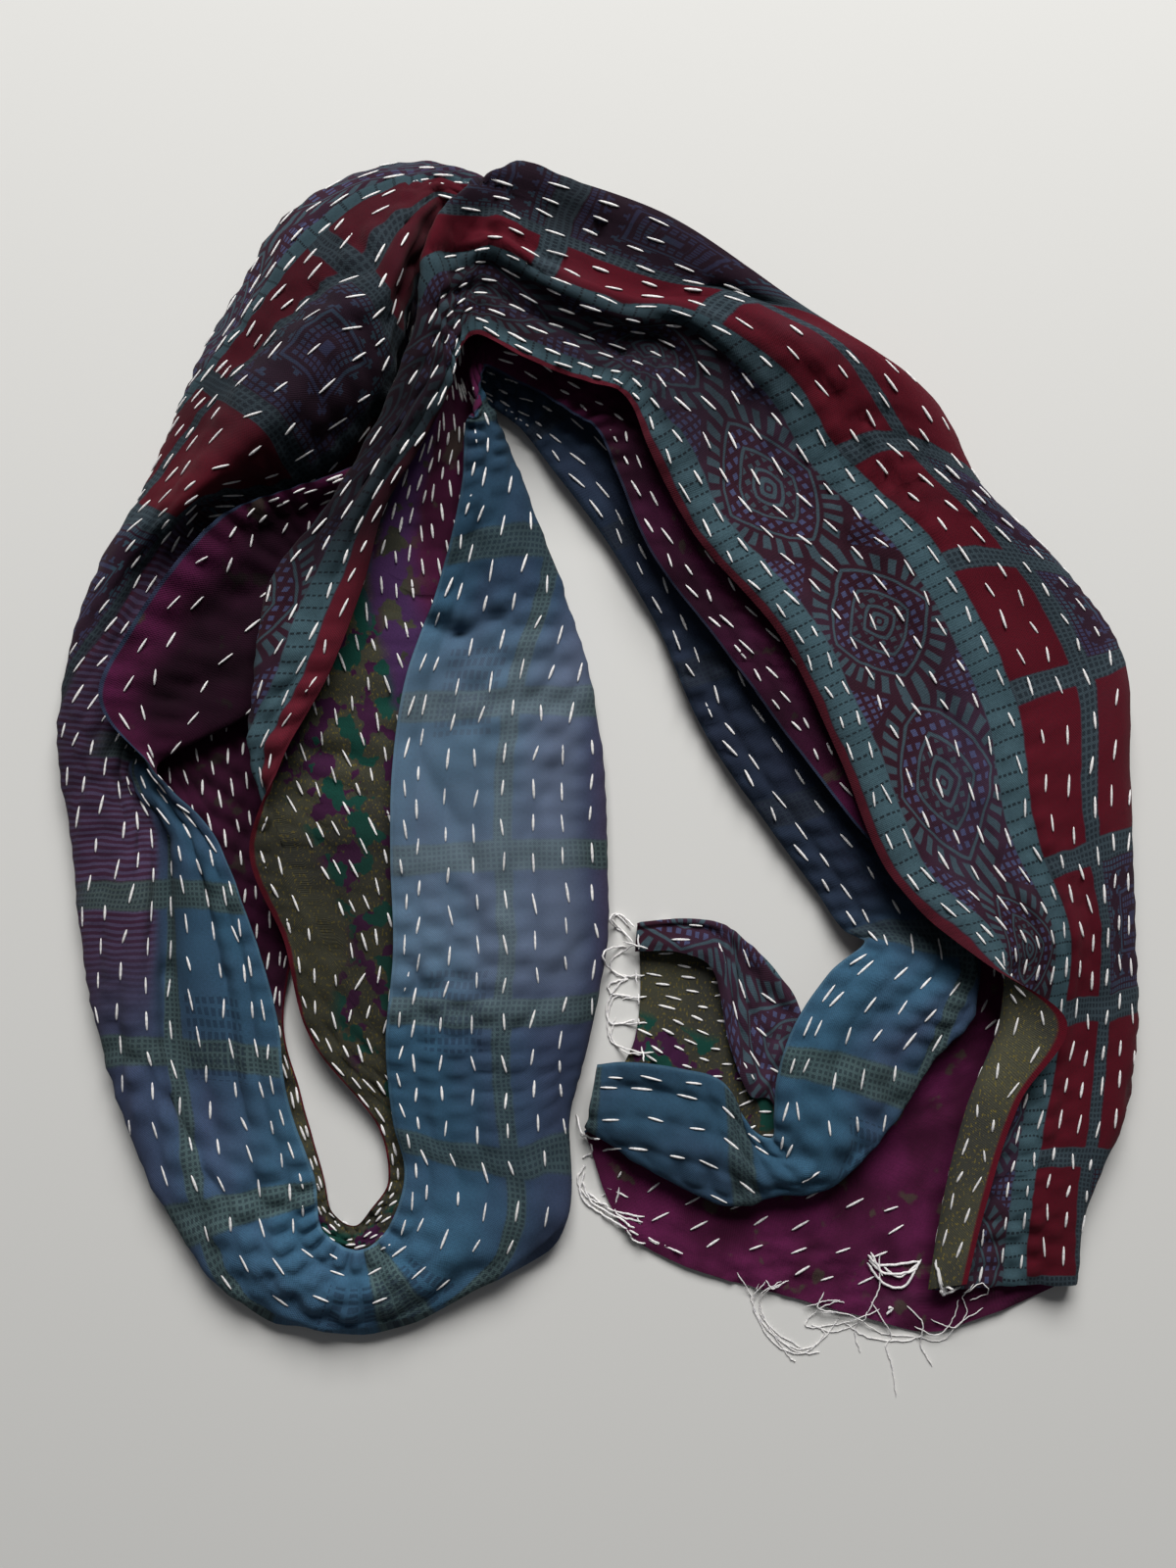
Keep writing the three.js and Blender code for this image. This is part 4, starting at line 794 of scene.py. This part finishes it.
squares = squares.top(spots * nest.between(4.2, 9.0, 0.3))
squares = squares.top(nest.between(10.4, 11.6, 0.2))
squares = squares.top(crosses.low(1) * nest.between(12.4, 20, 0.2))
squares = squares.top(spots * nest.between(20.6, 25, 0.3))
ink = blend("4b6a7c", "4f5076", noise(u0, s0, 30, 30, 1, 9.0).rise(0.4, 0.6))
cloth = blend(cloth, "3a2233", square_cell * 0.75)
cloth = blend(cloth, ink, square_cell * squares * 0.85)

# On the outer side of the loop the second column gives way to plum ground with thin lines across.
cross_lines = s.marks(2.6, 0.62) * u.between(*LINED, 3)
lined = s.rise(1040, 1110) * (1 - s.rise(1262, 1268))
cloth = blend(cloth, "54314c", lined * u.between(*LINED, 6))
cloth = blend(cloth, "72688e", cross_lines * lined * 0.6)
cloth = blend(cloth, "8a6a76", cross_lines * (1 - lined) * column_two * 0.2)

# Towards edge 2: purple to blue, with dotted greenish bands and clusters of dark dashes.
wash = noise(u0, s0, 45, 120, 3, 12.0)
plain = blend("5a4b69", SLATE, u.rise(208, 226))
plain = blend(plain, BLUE, u.rise(232, 262) * 0.9 * wash.rise(0.2, 0.65))
cloth = blend(cloth, plain, u.rise(210, 213) * (1 - lined * (1 - u.rise(244, 250))))
band_across = 1 - abs((s - 30).math("FLOORED_MODULO", CROSS_BAND) - CROSS_BAND / 2).rise(5.0, 6.5)
bands = band_across.top(u.between(*DOTTED_BAND)) * u.rise(190, 214)
cloth = blend(cloth, "5a6f6c", bands * 0.85)
cloth = blend(cloth, "2c3942", bands * u.marks(2.0, 0.6) * s.marks(2.0, 0.6) * 0.7)
cluster = (s + 28).marks(CLUSTER, 17) * u.between(*DASHED_BAND)
cloth = blend(cloth, "273349", cluster * u.marks(2.7, 0.85) * s.marks(4.6, 1.5) * 0.5)

# The two selvedges: blue along edge 2, red along edge 1.
cloth = blend(cloth, "5d86a0", u0.between(298.8, 299.9, 0.2) * 0.6)
cloth = blend(cloth, "7a2434", 1 - u.rise(2.4, 3.0))

# Stretches laid over the print: mostly painted shade in folds and hollows, one painted light, and the tail's
# slate.
FRONT_SHADE_AND_TONES = (
    ("8d9db1", 655, 800, 225, 320, 0.30),       # painted light on the lit middle of the loop's inner side
    ("15283a", 560, 640, 215, 320, 0.45),       # painted shade on the blue where the loop begins
    ("1b2c3e", 808, 880, 215, 320, 0.42),       # painted shade on the blue at the foot of the inner side
    ("33384f", 1440, 1735, 215, 320, 0.75),     # the tail
    ("14151f", 1545, 1732, 215, 320, 0.35),     # painted shade on its lower part, by the right band's underside
    ("120d14", 540, 625, -9, 72, 0.82),         # painted shade on the border where the loop begins, under the crest
    ("1d1218", 120, 420, -9, 3.2, 0.6),         # painted shade in the crevice at the hem of the right band
    ("120d14", 380, 530, 8, 74, 0.6),           # painted shade on the border in the valley where the cloth gathers
    ("120d14", 428, 530, 104, 330, 0.58),       # painted shade on the columns and the blue there
    ("0f0f16", 1292, 1420, 60, 170, 0.45),      # painted shade on the big roll and the crest
    ("0f0f16", 1150, 1260, 150, 320, 0.4),      # painted shade in the lip that is turned in
    ("203040", 1850, 1920, 262, 320, 0.3),      # the blue corner by end one
)
cloth, grain = wear(cloth, u0, s0, noise(u0, s0, 70, 70, 4, 20.0).rise(0.55, 0.85), "7f8798", 0.12, "20222a")
cloth = lay_shade_and_tones(cloth, u0, s0, FRONT_SHADE_AND_TONES, 22, 7)
# The near-black lies thinner over the loop's inner side, as painted light on that lit side, and a little
# thinner from 1690 to 1840 mm along.
deep = 0.42 - s0.between(650, 1040, 60) * u0.rise(215, 240) * 0.2 - s0.between(1690, 1840, 20) * 0.1
cloth = blend(cloth, DARKENED, deep)
finish_cloth(front, material, surface, u0, s0, cloth, grain)
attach(front, "root")
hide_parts("front_cloth")

# ---- Back cloth -----------------------------------------------------------------------------------------
# The back is another old sari: olive grey with gold flecks by edge 1, a band of olive with green and
# magenta flowers, then plum with olive spots out to edge 2.
back = sheet_mesh("back_quilt", -1)
material, surface = new_material("back print", COTTON)
tree = material.node_tree
u0, s0 = flat_place(tree)

# Its flowers and blots are placed by where they lie in the heap, in mm, so they run on over the folds.
# By end one the olive reaches farther across.
spot = new_node(tree, "ShaderNodeTexCoord", {}, {}).outputs["Object"]
spot = new_node(tree, "ShaderNodeSeparateXYZ", {}, {"Vector": spot})
x_mm, y_mm = (Tone(tree, spot.outputs[k]) * 1000 for k in (0, 1))
blot = noise(x_mm, y_mm, 12, 14, 3, 41.0)
other_blot = noise(x_mm, y_mm, 10, 12, 3, 47.0)
u = u0 + (blot - 0.5) * 14 - s0.rise(*LAST_STRETCH) * 95
cloth = blend("4b4b43", "5f5e4c", noise(x_mm, y_mm, 30, 40, 3, 43.0).rise(0.35, 0.65))
flecks = noise(x_mm, y_mm, 0.8, 1.5, 1, 45.0).rise(0.60, 0.66)
cloth = blend(cloth, "9c8a3a", flecks * (1 - u.rise(95, 130)) * 0.6)
flowers = (u - (blot - 0.5) * 14).between(24, 112, 6)
green = blot.rise(0.555, 0.57)
cloth = blend(cloth, "1f5a4e", green * flowers)
cloth = blend(cloth, "54264f", other_blot.rise(0.535, 0.55) * (1 - green) * flowers)
violet = u.between(108, 152, 5) * s0.between(540, 1330, 30)
cloth = blend(cloth, "5e3c70", violet * (1 - other_blot.rise(0.53, 0.56)))
plum = (u + (1 - s0.rise(30, 100)) * 50).rise(130, 158).top(s0.between(1075, 1275, 12))
plum_tone = blend("4b1535", "6a2250", noise(x_mm, y_mm, 26, 30, 2, 61.0).rise(0.35, 0.65))
cloth = blend(cloth, plum_tone, plum)
cloth = blend(cloth, "544a40", plum * (blot * 0.5 + other_blot * 0.5).rise(0.575, 0.62) * 0.8)

# The two selvedges: red along edge 1, blue along edge 2.
cloth = blend(cloth, RED, 1 - u0.rise(1.6, 2.6))
cloth = blend(cloth, "34506c", u0.rise(298.8, 299.3) * 0.8)

# Stretches laid over the back's print: painted shade in the pockets and under the right band, and one darker
# stretch by edge 1.
BACK_SHADE_AND_TONES = (
    ("160a12", 1180, 1300, 245, 292, 0.82),     # painted shade along the lip that is turned in
    ("160a12", 1075, 1275, 0, 180, 0.55),       # painted shade on the outer side of the loop
    ("1c0d18", 240, 420, 285, 320, 0.6),        # painted shade on the right band by edge 2, beneath the band
    ("171512", 725, 850, 0, 110, 0.42),         # the loop's inner side by edge 1
)
cloth, grain = wear(cloth, u0, s0, noise(u0, s0, 60, 60, 4, 51.0).rise(0.6, 0.9), "8d8390", 0.16, "1d1a1c")
cloth = lay_shade_and_tones(cloth, u0, s0, BACK_SHADE_AND_TONES, 18, 5)
cloth = blend(cloth, DARKENED, 0.40 - s0.between(-90, 150, 20) * 0.21)
finish_cloth(back, material, surface, u0, s0, cloth, grain)
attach(back, "root")
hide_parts("back_cloth")

# ---- Running stitches -----------------------------------------------------------------------------------
# Rows of thick white cotton in long running stitch hold the layers together.  The needle goes in and out,
# so each stitch of the front stands over a gap of the back.
STITCH = 7.7            # mm of thread on the face
THREAD = 0.5            # mm, half the thread's width
SHORTER = 0.92          # how much of a front stitch a back one shows
LAST_ROW = 9            # mm from edge 2, inside which the hem's seam is the only row
LIFT = 0.18             # mm from the cloth's face to the ends of a stitch
CROWN = 0.24            # mm from the cloth's face to the middle of a stitch
mean_along = along_mm[:, COLS // 2]


def on_cloth(a, b, side, lift):
    """The point, in mm, a from edge 1 and b along the cloth, on one face, and the way that face looks."""
    i = np.searchsorted(mean_along, b) - 1
    i = int(min(max(i, 0), ROWS - 2))
    ti = min(max((b - mean_along[i]) / (mean_along[i + 1] - mean_along[i]), 0), 1)
    where, looks = 0, 0
    for r, weight in ((i, 1 - ti), (i + 1, ti)):
        j = int(min(max(np.searchsorted(across_mm[r], a) - 1, 0), COLS - 2))
        gap = across_mm[r, j + 1] - across_mm[r, j]
        tj = min(max((a - across_mm[r, j]) / gap, 0), 1) if gap > 1e-6 else 0
        for c, w in ((j, 1 - tj), (j + 1, tj)):
            where = where + weight * w * (quilt_mm[r, c] + facing[r, c] * side * (half[r, c] + lift))
            looks = looks + weight * w * facing[r, c] * side
    return Vector(where), Vector(looks).normalized()


def pour(part, whole):
    """Adds one mesh to a larger one."""
    mesh = bpy.data.meshes.new("part")
    part.to_mesh(mesh)
    part.free()
    whole.from_mesh(mesh)
    bpy.data.meshes.remove(mesh)


def smooth_piece(bm, name):
    """A finished mesh with smooth faces, as an object in the scene."""
    for face in bm.faces:
        face.smooth = True
    return piece_of(bm, name)


def add_stitch(bm, ends, looks, crown, length, thick):
    """One stitch: a long drop of thread from end to end, lifted over the cloth between them."""
    run = ends[1] - ends[0]
    middle = (ends[0] + ends[1]) / 2
    run = run.normalized() * min(run.length, length)
    up = (looks[0] + looks[1]).normalized()
    out = run.cross(up).normalized()
    lie = Matrix((out * thick, run / 2, up * thick * 0.8)).transposed().to_4x4()
    lie.translation = middle + up * min(0.7, max(0, (crown - middle).dot(up)))
    lie = Matrix.Diagonal((0.001, 0.001, 0.001, 1)) @ lie @ Matrix.Rotation(math.pi / 2, 4, "X")
    bmesh.ops.create_uvsphere(bm, u_segments=6, v_segments=5, radius=1, matrix=lie)


def sew(name, side):
    """All rows of one face, with every stitch a little different; none where the cloth turns too sharply."""
    rng = random.Random(90 + side)
    whole = bmesh.new()
    inner_rows = [STITCH_ROW * k for k in range(1, int(WIDTH / STITCH_ROW) + 1)]
    for a in [HEM] + [row for row in inner_rows if row < WIDTH - LAST_ROW] + [WIDTH - HEM]:
        bm = bmesh.new()
        b = rng.uniform(2, 12) + (0 if side > 0 else STITCH_PITCH / 2)
        while b < along_mm.max() - STITCH:
            length = STITCH * rng.uniform(0.78, 1.18) * (1.0 if side > 0 else SHORTER)
            shift = rng.uniform(-0.9, 0.9)
            lean = rng.uniform(-0.9, 0.9)
            p, n1 = on_cloth(a + shift - lean, b, side, LIFT)
            q, n2 = on_cloth(a + shift + lean, b + length, side, LIFT)
            if 0.45 * length < (q - p).length < 1.6 * length and n1.dot(n2) > 0.6 and min(p.z, q.z) > 0.5:
                crown, _ = on_cloth(a + shift, b + length / 2, side, CROWN)
                add_stitch(bm, (p, q), (n1, n2), crown, length, THREAD * rng.uniform(0.85, 1.2))
            b += STITCH_PITCH * rng.uniform(0.88, 1.14)
        pour(bm, whole)
    return smooth_piece(whole, name)


thread_white, surface = new_material("white cotton thread", {"Roughness": 0.8, "Specular IOR Level": 0.2})
tree = thread_white.node_tree
spot = new_node(tree, "ShaderNodeTexCoord", {}, {}).outputs["Object"]
lint = Tone(tree, new_node(tree, "ShaderNodeTexNoise", {}, {"Vector": spot, "Scale": 900}).outputs["Fac"])
feed(tree, surface.inputs["Base Color"], blend("cfcdd0", "f3f0ee", lint.rise(0.3, 0.6)))
relief(tree, surface, lint, 0.4, 0.0002)

stitches = [sew("front_stitches", 1), sew("back_stitches", -1)]
for piece in stitches:
    piece.data.materials.append(thread_white)
    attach(piece, "root")

# ---- Loose ends of the stitching thread -----------------------------------------------------------------
# At both ends the white cotton runs past the cloth: short loops by end one; by end two a bundle, a few arcs
# over the corner and long thin threads straying on the table.  Each thread is stated by half its thickness
# and the x and y of the points on its route, in mm.
LOOSE_THREADS = {
    "end_one_threads": [
        (0.38, (17.5, -60.8), (9.1, -52.0), (12.9, -50.8), (17.9, -55.0)),
        (0.32, (16.7, -56.2), (10.6, -50.2), (8.4, -53.2), (15.2, -58.5)),
        (0.38, (15.2, -63.1), (6.4, -63.8), (7.6, -70.7), (15.2, -75.2)),
        (0.3, (17.5, -62.3), (9.1, -68.4), (10.6, -73.7), (15.2, -74.5)),
        (0.38, (16.7, -82.1), (9.4, -81.3), (8.2, -77.8), (15.2, -75.2)),
        (0.38, (18.5, -91.2), (9.4, -93.0), (7.3, -85.9), (11.9, -77.8), (15.5, -75.4)),
        (0.32, (21.3, -103.4), (10.3, -100.6), (7.6, -94.2), (9.4, -83.6), (15.2, -82.1)),
        (0.32, (20.5, -104.1), (12.2, -102.6), (9.1, -97.3), (10.6, -90.4)),
        (0.35, (13.7, -60.8), (22.8, -63.1)),
        (0.35, (12.9, -74.8), (22.0, -73.9)),
        (0.35, (13.7, -83.3), (22.8, -82.1)),
        (0.35, (13.7, -93.0), (22.8, -92.1)),
        (0.35, (15.2, -103.7), (25.1, -103.1)),
        (0.35, (19.2, -57.8), (19.5, -63.1)),
        (0.35, (18.5, -72.2), (18.8, -77.5)),
        (0.35, (19.5, -81.3), (19.6, -85.9)),
        (0.35, (19.5, -90.4), (19.8, -95.5)),
        (0.35, (20.7, -101.1), (21.3, -105.6)),
    ],
    "end_two_threads": [
        (0.4, (-4.6, -127.7), (-1.2, -135.6), (4.6, -135.3)),
        (0.36, (-2.3, -144.7), (1.8, -142.9), (12.5, -138.9)),
        (0.42, (-1.5, -149.7), (-2.7, -159.6), (6.4, -167.2), (15.5, -171.8), (27.7, -177.8),
         (36.8, -180.9)),
        (0.42, (-2.1, -153.5), (1.5, -161.9), (13.7, -168.7), (22.8, -174.8), (32.2, -179.4)),
        (0.4, (0.0, -158.1), (7.9, -164.5), (21.6, -167.2)),
        (0.42, (5.8, -159.6), (10.3, -155.0), (12.8, -149.6)),
        (0.4, (6.4, -155.0), (15.5, -159.9)),
        (0.38, (12.2, -155.8), (10.9, -166.0), (21.3, -169.0)),
        (0.36, (-0.9, -147.4), (-4.0, -153.5), (0.3, -160.5), (7.6, -162.9)),
        (0.38, (13.7, -169.0), (20.7, -172.4), (19.2, -167.2)),
        (0.34, (-3.0, -135.3), (1.2, -139.5), (1.5, -144.4)),
        (0.36, (15.2, -171.8), (18.2, -176.6), (26.1, -177.2)),
        (0.24, (57.8, -188.5), (62.6, -197.6), (65.4, -206.7), (73.3, -217.7), (83.9, -220.4),
         (91.5, -212.8), (86.3, -209.2)),
        (0.22, (65.7, -193.0), (64.4, -203.7), (71.4, -212.8), (77.8, -221.9), (80.6, -223.7)),
        (0.24, (68.4, -191.5), (71.4, -194.6), (75.7, -192.1)),
        (0.22, (77.5, -191.5), (68.7, -196.1), (66.9, -205.2), (77.5, -217.7), (88.5, -217.4),
         (97.6, -206.7)),
        (0.24, (68.4, -191.8), (63.8, -199.4), (68.1, -209.8), (80.6, -219.8), (89.7, -220.4)),
        (0.2, (74.5, -191.8), (66.6, -197.6), (70.2, -209.8), (83.0, -218.9)),
        (0.22, (97.3, -199.1), (90.0, -202.2), (84.5, -210.1), (99.1, -208.8), (112.5, -202.5)),
        (0.28, (112.5, -181.6), (112.2, -194.6), (107.9, -204.0)),
        (0.24, (109.4, -200.0), (117.3, -212.8), (115.5, -217.7), (118.0, -226.5), (119.5, -237.4)),
        (0.22, (98.8, -208.2), (108.2, -214.3), (123.4, -215.8), (129.5, -212.8)),
        (0.26, (123.1, -201.4), (129.2, -208.2), (128.9, -217.4), (133.2, -225.3)),
        (0.2, (132.2, -206.7), (141.7, -209.8), (146.2, -203.7), (144.4, -197.6), (147.7, -191.5)),
        (0.2, (144.4, -196.1), (150.8, -191.2), (153.8, -196.1), (147.7, -199.4)),
        (0.2, (127.7, -214.3), (137.1, -215.8), (143.2, -208.2), (152.3, -202.2)),
        (0.2, (89.7, -203.7), (101.8, -205.2), (114.0, -212.8), (126.2, -214.3)),
        (0.2, (86.6, -209.8), (95.8, -212.2), (105.2, -208.2), (107.9, -203.7)),
        (0.22, (126.2, -209.8), (135.3, -212.8), (141.4, -205.2), (142.9, -199.1)),
        (0.2, (83.6, -202.2), (92.7, -199.1), (98.8, -200.0)),
        (0.24, (91.2, -196.1), (88.8, -202.2), (97.3, -204.0)),
        (0.2, (104.9, -206.7), (103.4, -212.8), (105.6, -220.4)),
        (0.5, (107.9, -181.6), (112.8, -185.7), (128.0, -184.2)),
        (0.5, (108.5, -183.9), (114.3, -188.5), (124.9, -187.9), (128.0, -183.9)),
        (0.5, (107.9, -184.8), (114.3, -193.0), (121.9, -193.6), (128.6, -183.6)),
        (0.5, (109.1, -180.6), (113.4, -189.4)),
        (0.42, (114.0, -186.4), (120.1, -190.0), (127.1, -185.4)),
        (0.5, (132.2, -180.9), (133.8, -190.0), (136.8, -194.6), (142.3, -192.1)),
        (0.6, (134.4, -191.8), (136.8, -193.3), (135.9, -195.2), (134.4, -193.0)),
        (0.46, (133.2, -183.9), (135.0, -190.9), (138.6, -192.1)),
        (0.5, (115.2, -204.6), (117.3, -202.5), (115.8, -201.9)),
    ],
}
ROUND_THREAD = 6        # sides of a thread's tube
SPAN_STEPS = 7          # short lengths between two of its points
KINK = 0.25             # mm that it strays from its route
ON_CLOTH = 0.8          # mm from the middle of the quilt up to a thread that lies on it
ON_TABLE = 0.15         # mm from the table up to a thread that lies on it
NEAR = 2.0              # mm round a thread that can lift it
flat_x, flat_y = quilt_mm[..., 0], quilt_mm[..., 1]


def laid_height(x, y):
    """Height in mm of the cloth under a point, or of the table."""
    near = (abs(flat_x - x) < NEAR) & (abs(flat_y - y) < NEAR)
    return quilt_mm[..., 2][near].max() + ON_CLOTH if near.any() else ON_TABLE


def thread(whole, points, thick, rng):
    """One thread through the points: a strip of grid rolled up into a tube."""
    spots = np.array([(x + MIDDLE[0], y + MIDDLE[1]) for x, y in points])
    spots = through(spots, np.arange(len(spots), dtype=float), [SPAN_STEPS] * (len(spots) - 1))
    spots = spots + np.array([(rng.uniform(-KINK, KINK), rng.uniform(-KINK, KINK)) for _ in spots])
    height = np.array([laid_height(x, y) for x, y in spots])
    height = np.convolve(np.pad(height, 2, mode="edge"), np.ones(5) / 5, mode="valid") + thick
    path = [Vector((x, y, z)) / 1000 for (x, y), z in zip(spots, height)]
    bm = bmesh.new()
    rows = len(path)
    bmesh.ops.create_grid(bm, x_segments=ROUND_THREAD, y_segments=rows - 1, size=0.5)
    for v in bm.verts:
        turn = round((v.co.x + 0.5) * ROUND_THREAD) % ROUND_THREAD * math.tau / ROUND_THREAD
        i = round((v.co.y + 0.5) * (rows - 1))
        ahead = (path[min(i + 1, rows - 1)] - path[max(i - 1, 0)]).normalized()
        out = ahead.cross(Vector((0, 0, 1))).normalized()
        up = out.cross(ahead)
        r = thick / 1000 * (0.35 if i in (0, rows - 1) else 1)          # drawn thin at both tips
        v.co = path[i] + (out * math.cos(turn) + up * math.sin(turn)) * r
    bmesh.ops.remove_doubles(bm, verts=bm.verts, dist=1e-7)
    bmesh.ops.recalc_face_normals(bm, faces=bm.faces)
    pour(bm, whole)


for name, strands in LOOSE_THREADS.items():
    rng = random.Random(7)
    whole = bmesh.new()
    for thick, *points in strands:
        thread(whole, points, thick, rng)
    piece = smooth_piece(whole, name)
    piece.data.materials.append(thread_white)
    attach(piece, "root")
    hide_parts("fringe_one" if name == "end_one_threads" else "fringe_two")

# ---- Table, light and camera ----------------------------------------------------------------------------
# A plain pale table far larger than the scarf, which runs into a pale backdrop; one large soft window
# beyond the top of the scarf lights it, with a little light from the room.
bm = bmesh.new()
bmesh.ops.create_grid(bm, x_segments=1, y_segments=1, size=12.0)
table = piece_of(bm, "table_top")
white, matt = new_material("pale table", {"Base Color": shade("dcdbd8"), "Roughness": 0.8})
tree = white.node_tree
table.data.materials.append(white)
BACKDROP = shade("dfdedb")


def seen_pale(tree, near, amount):
    """The plain backdrop, for the eye only: it lights nothing."""
    eye = Tone(tree, new_node(tree, "ShaderNodeLightPath", {}, {}).outputs["Is Camera Ray"])
    glow = new_node(tree, "ShaderNodeEmission", {}, {"Color": BACKDROP, "Strength": 1.0})
    mixed = new_node(tree, "ShaderNodeMixShader", {}, {0: eye * amount, 1: near, 2: glow.outputs[0]})
    return mixed.outputs[0]


# Well away from the scarf the table runs into the backdrop.
spot = new_node(tree, "ShaderNodeTexCoord", {}, {}).outputs["Object"]
away = new_node(tree, "ShaderNodeVectorMath", dict(operation="LENGTH"), {"Vector": spot})
far = Tone(tree, away.outputs["Value"]).rise(0.40, 0.95)
feed(tree, tree.nodes["Material Output"].inputs["Surface"], seen_pale(tree, matt.outputs[0], far))

light = bpy.data.lights.new("window", "AREA")
light.shape = "RECTANGLE"
light.size, light.size_y = 1.6, 1.2
light.energy = 79
light.color = (1.0, 0.997, 0.985)
window = bpy.data.objects.new("window", light)
window.location = (0.17, 1.85, 1.45)
window.rotation_euler = (Vector((0, 0.05, 0)) - window.location).to_track_quat("-Z", "Y").to_euler()
window.visible_camera = False
bpy.context.scene.collection.objects.link(window)

world = bpy.data.worlds.new("room")
world.use_nodes = True
tree = world.node_tree
room = tree.nodes["Background"]
room.inputs["Color"].default_value = (0.86, 0.88, 0.92, 1)
room.inputs["Strength"].default_value = 0.085
feed(tree, tree.nodes["World Output"].inputs["Surface"], seen_pale(tree, room.outputs[0], 1.0))
bpy.context.scene.world = world

CAMERA_HEIGHT = 0.62    # metres above the table
HALF_VIEW = 0.228       # metres of table seen to either side of the middle
camera_data = bpy.data.cameras.new("camera")
camera_data.sensor_fit = "HORIZONTAL"
camera_data.angle = 2 * math.atan(HALF_VIEW / CAMERA_HEIGHT)
camera = bpy.data.objects.new("camera", camera_data)
camera.location = (MIDDLE[0] / 1000, MIDDLE[1] / 1000, CAMERA_HEIGHT)
bpy.context.scene.collection.objects.link(camera)
bpy.context.scene.camera = camera
bpy.context.scene.view_settings.view_transform = "Standard"
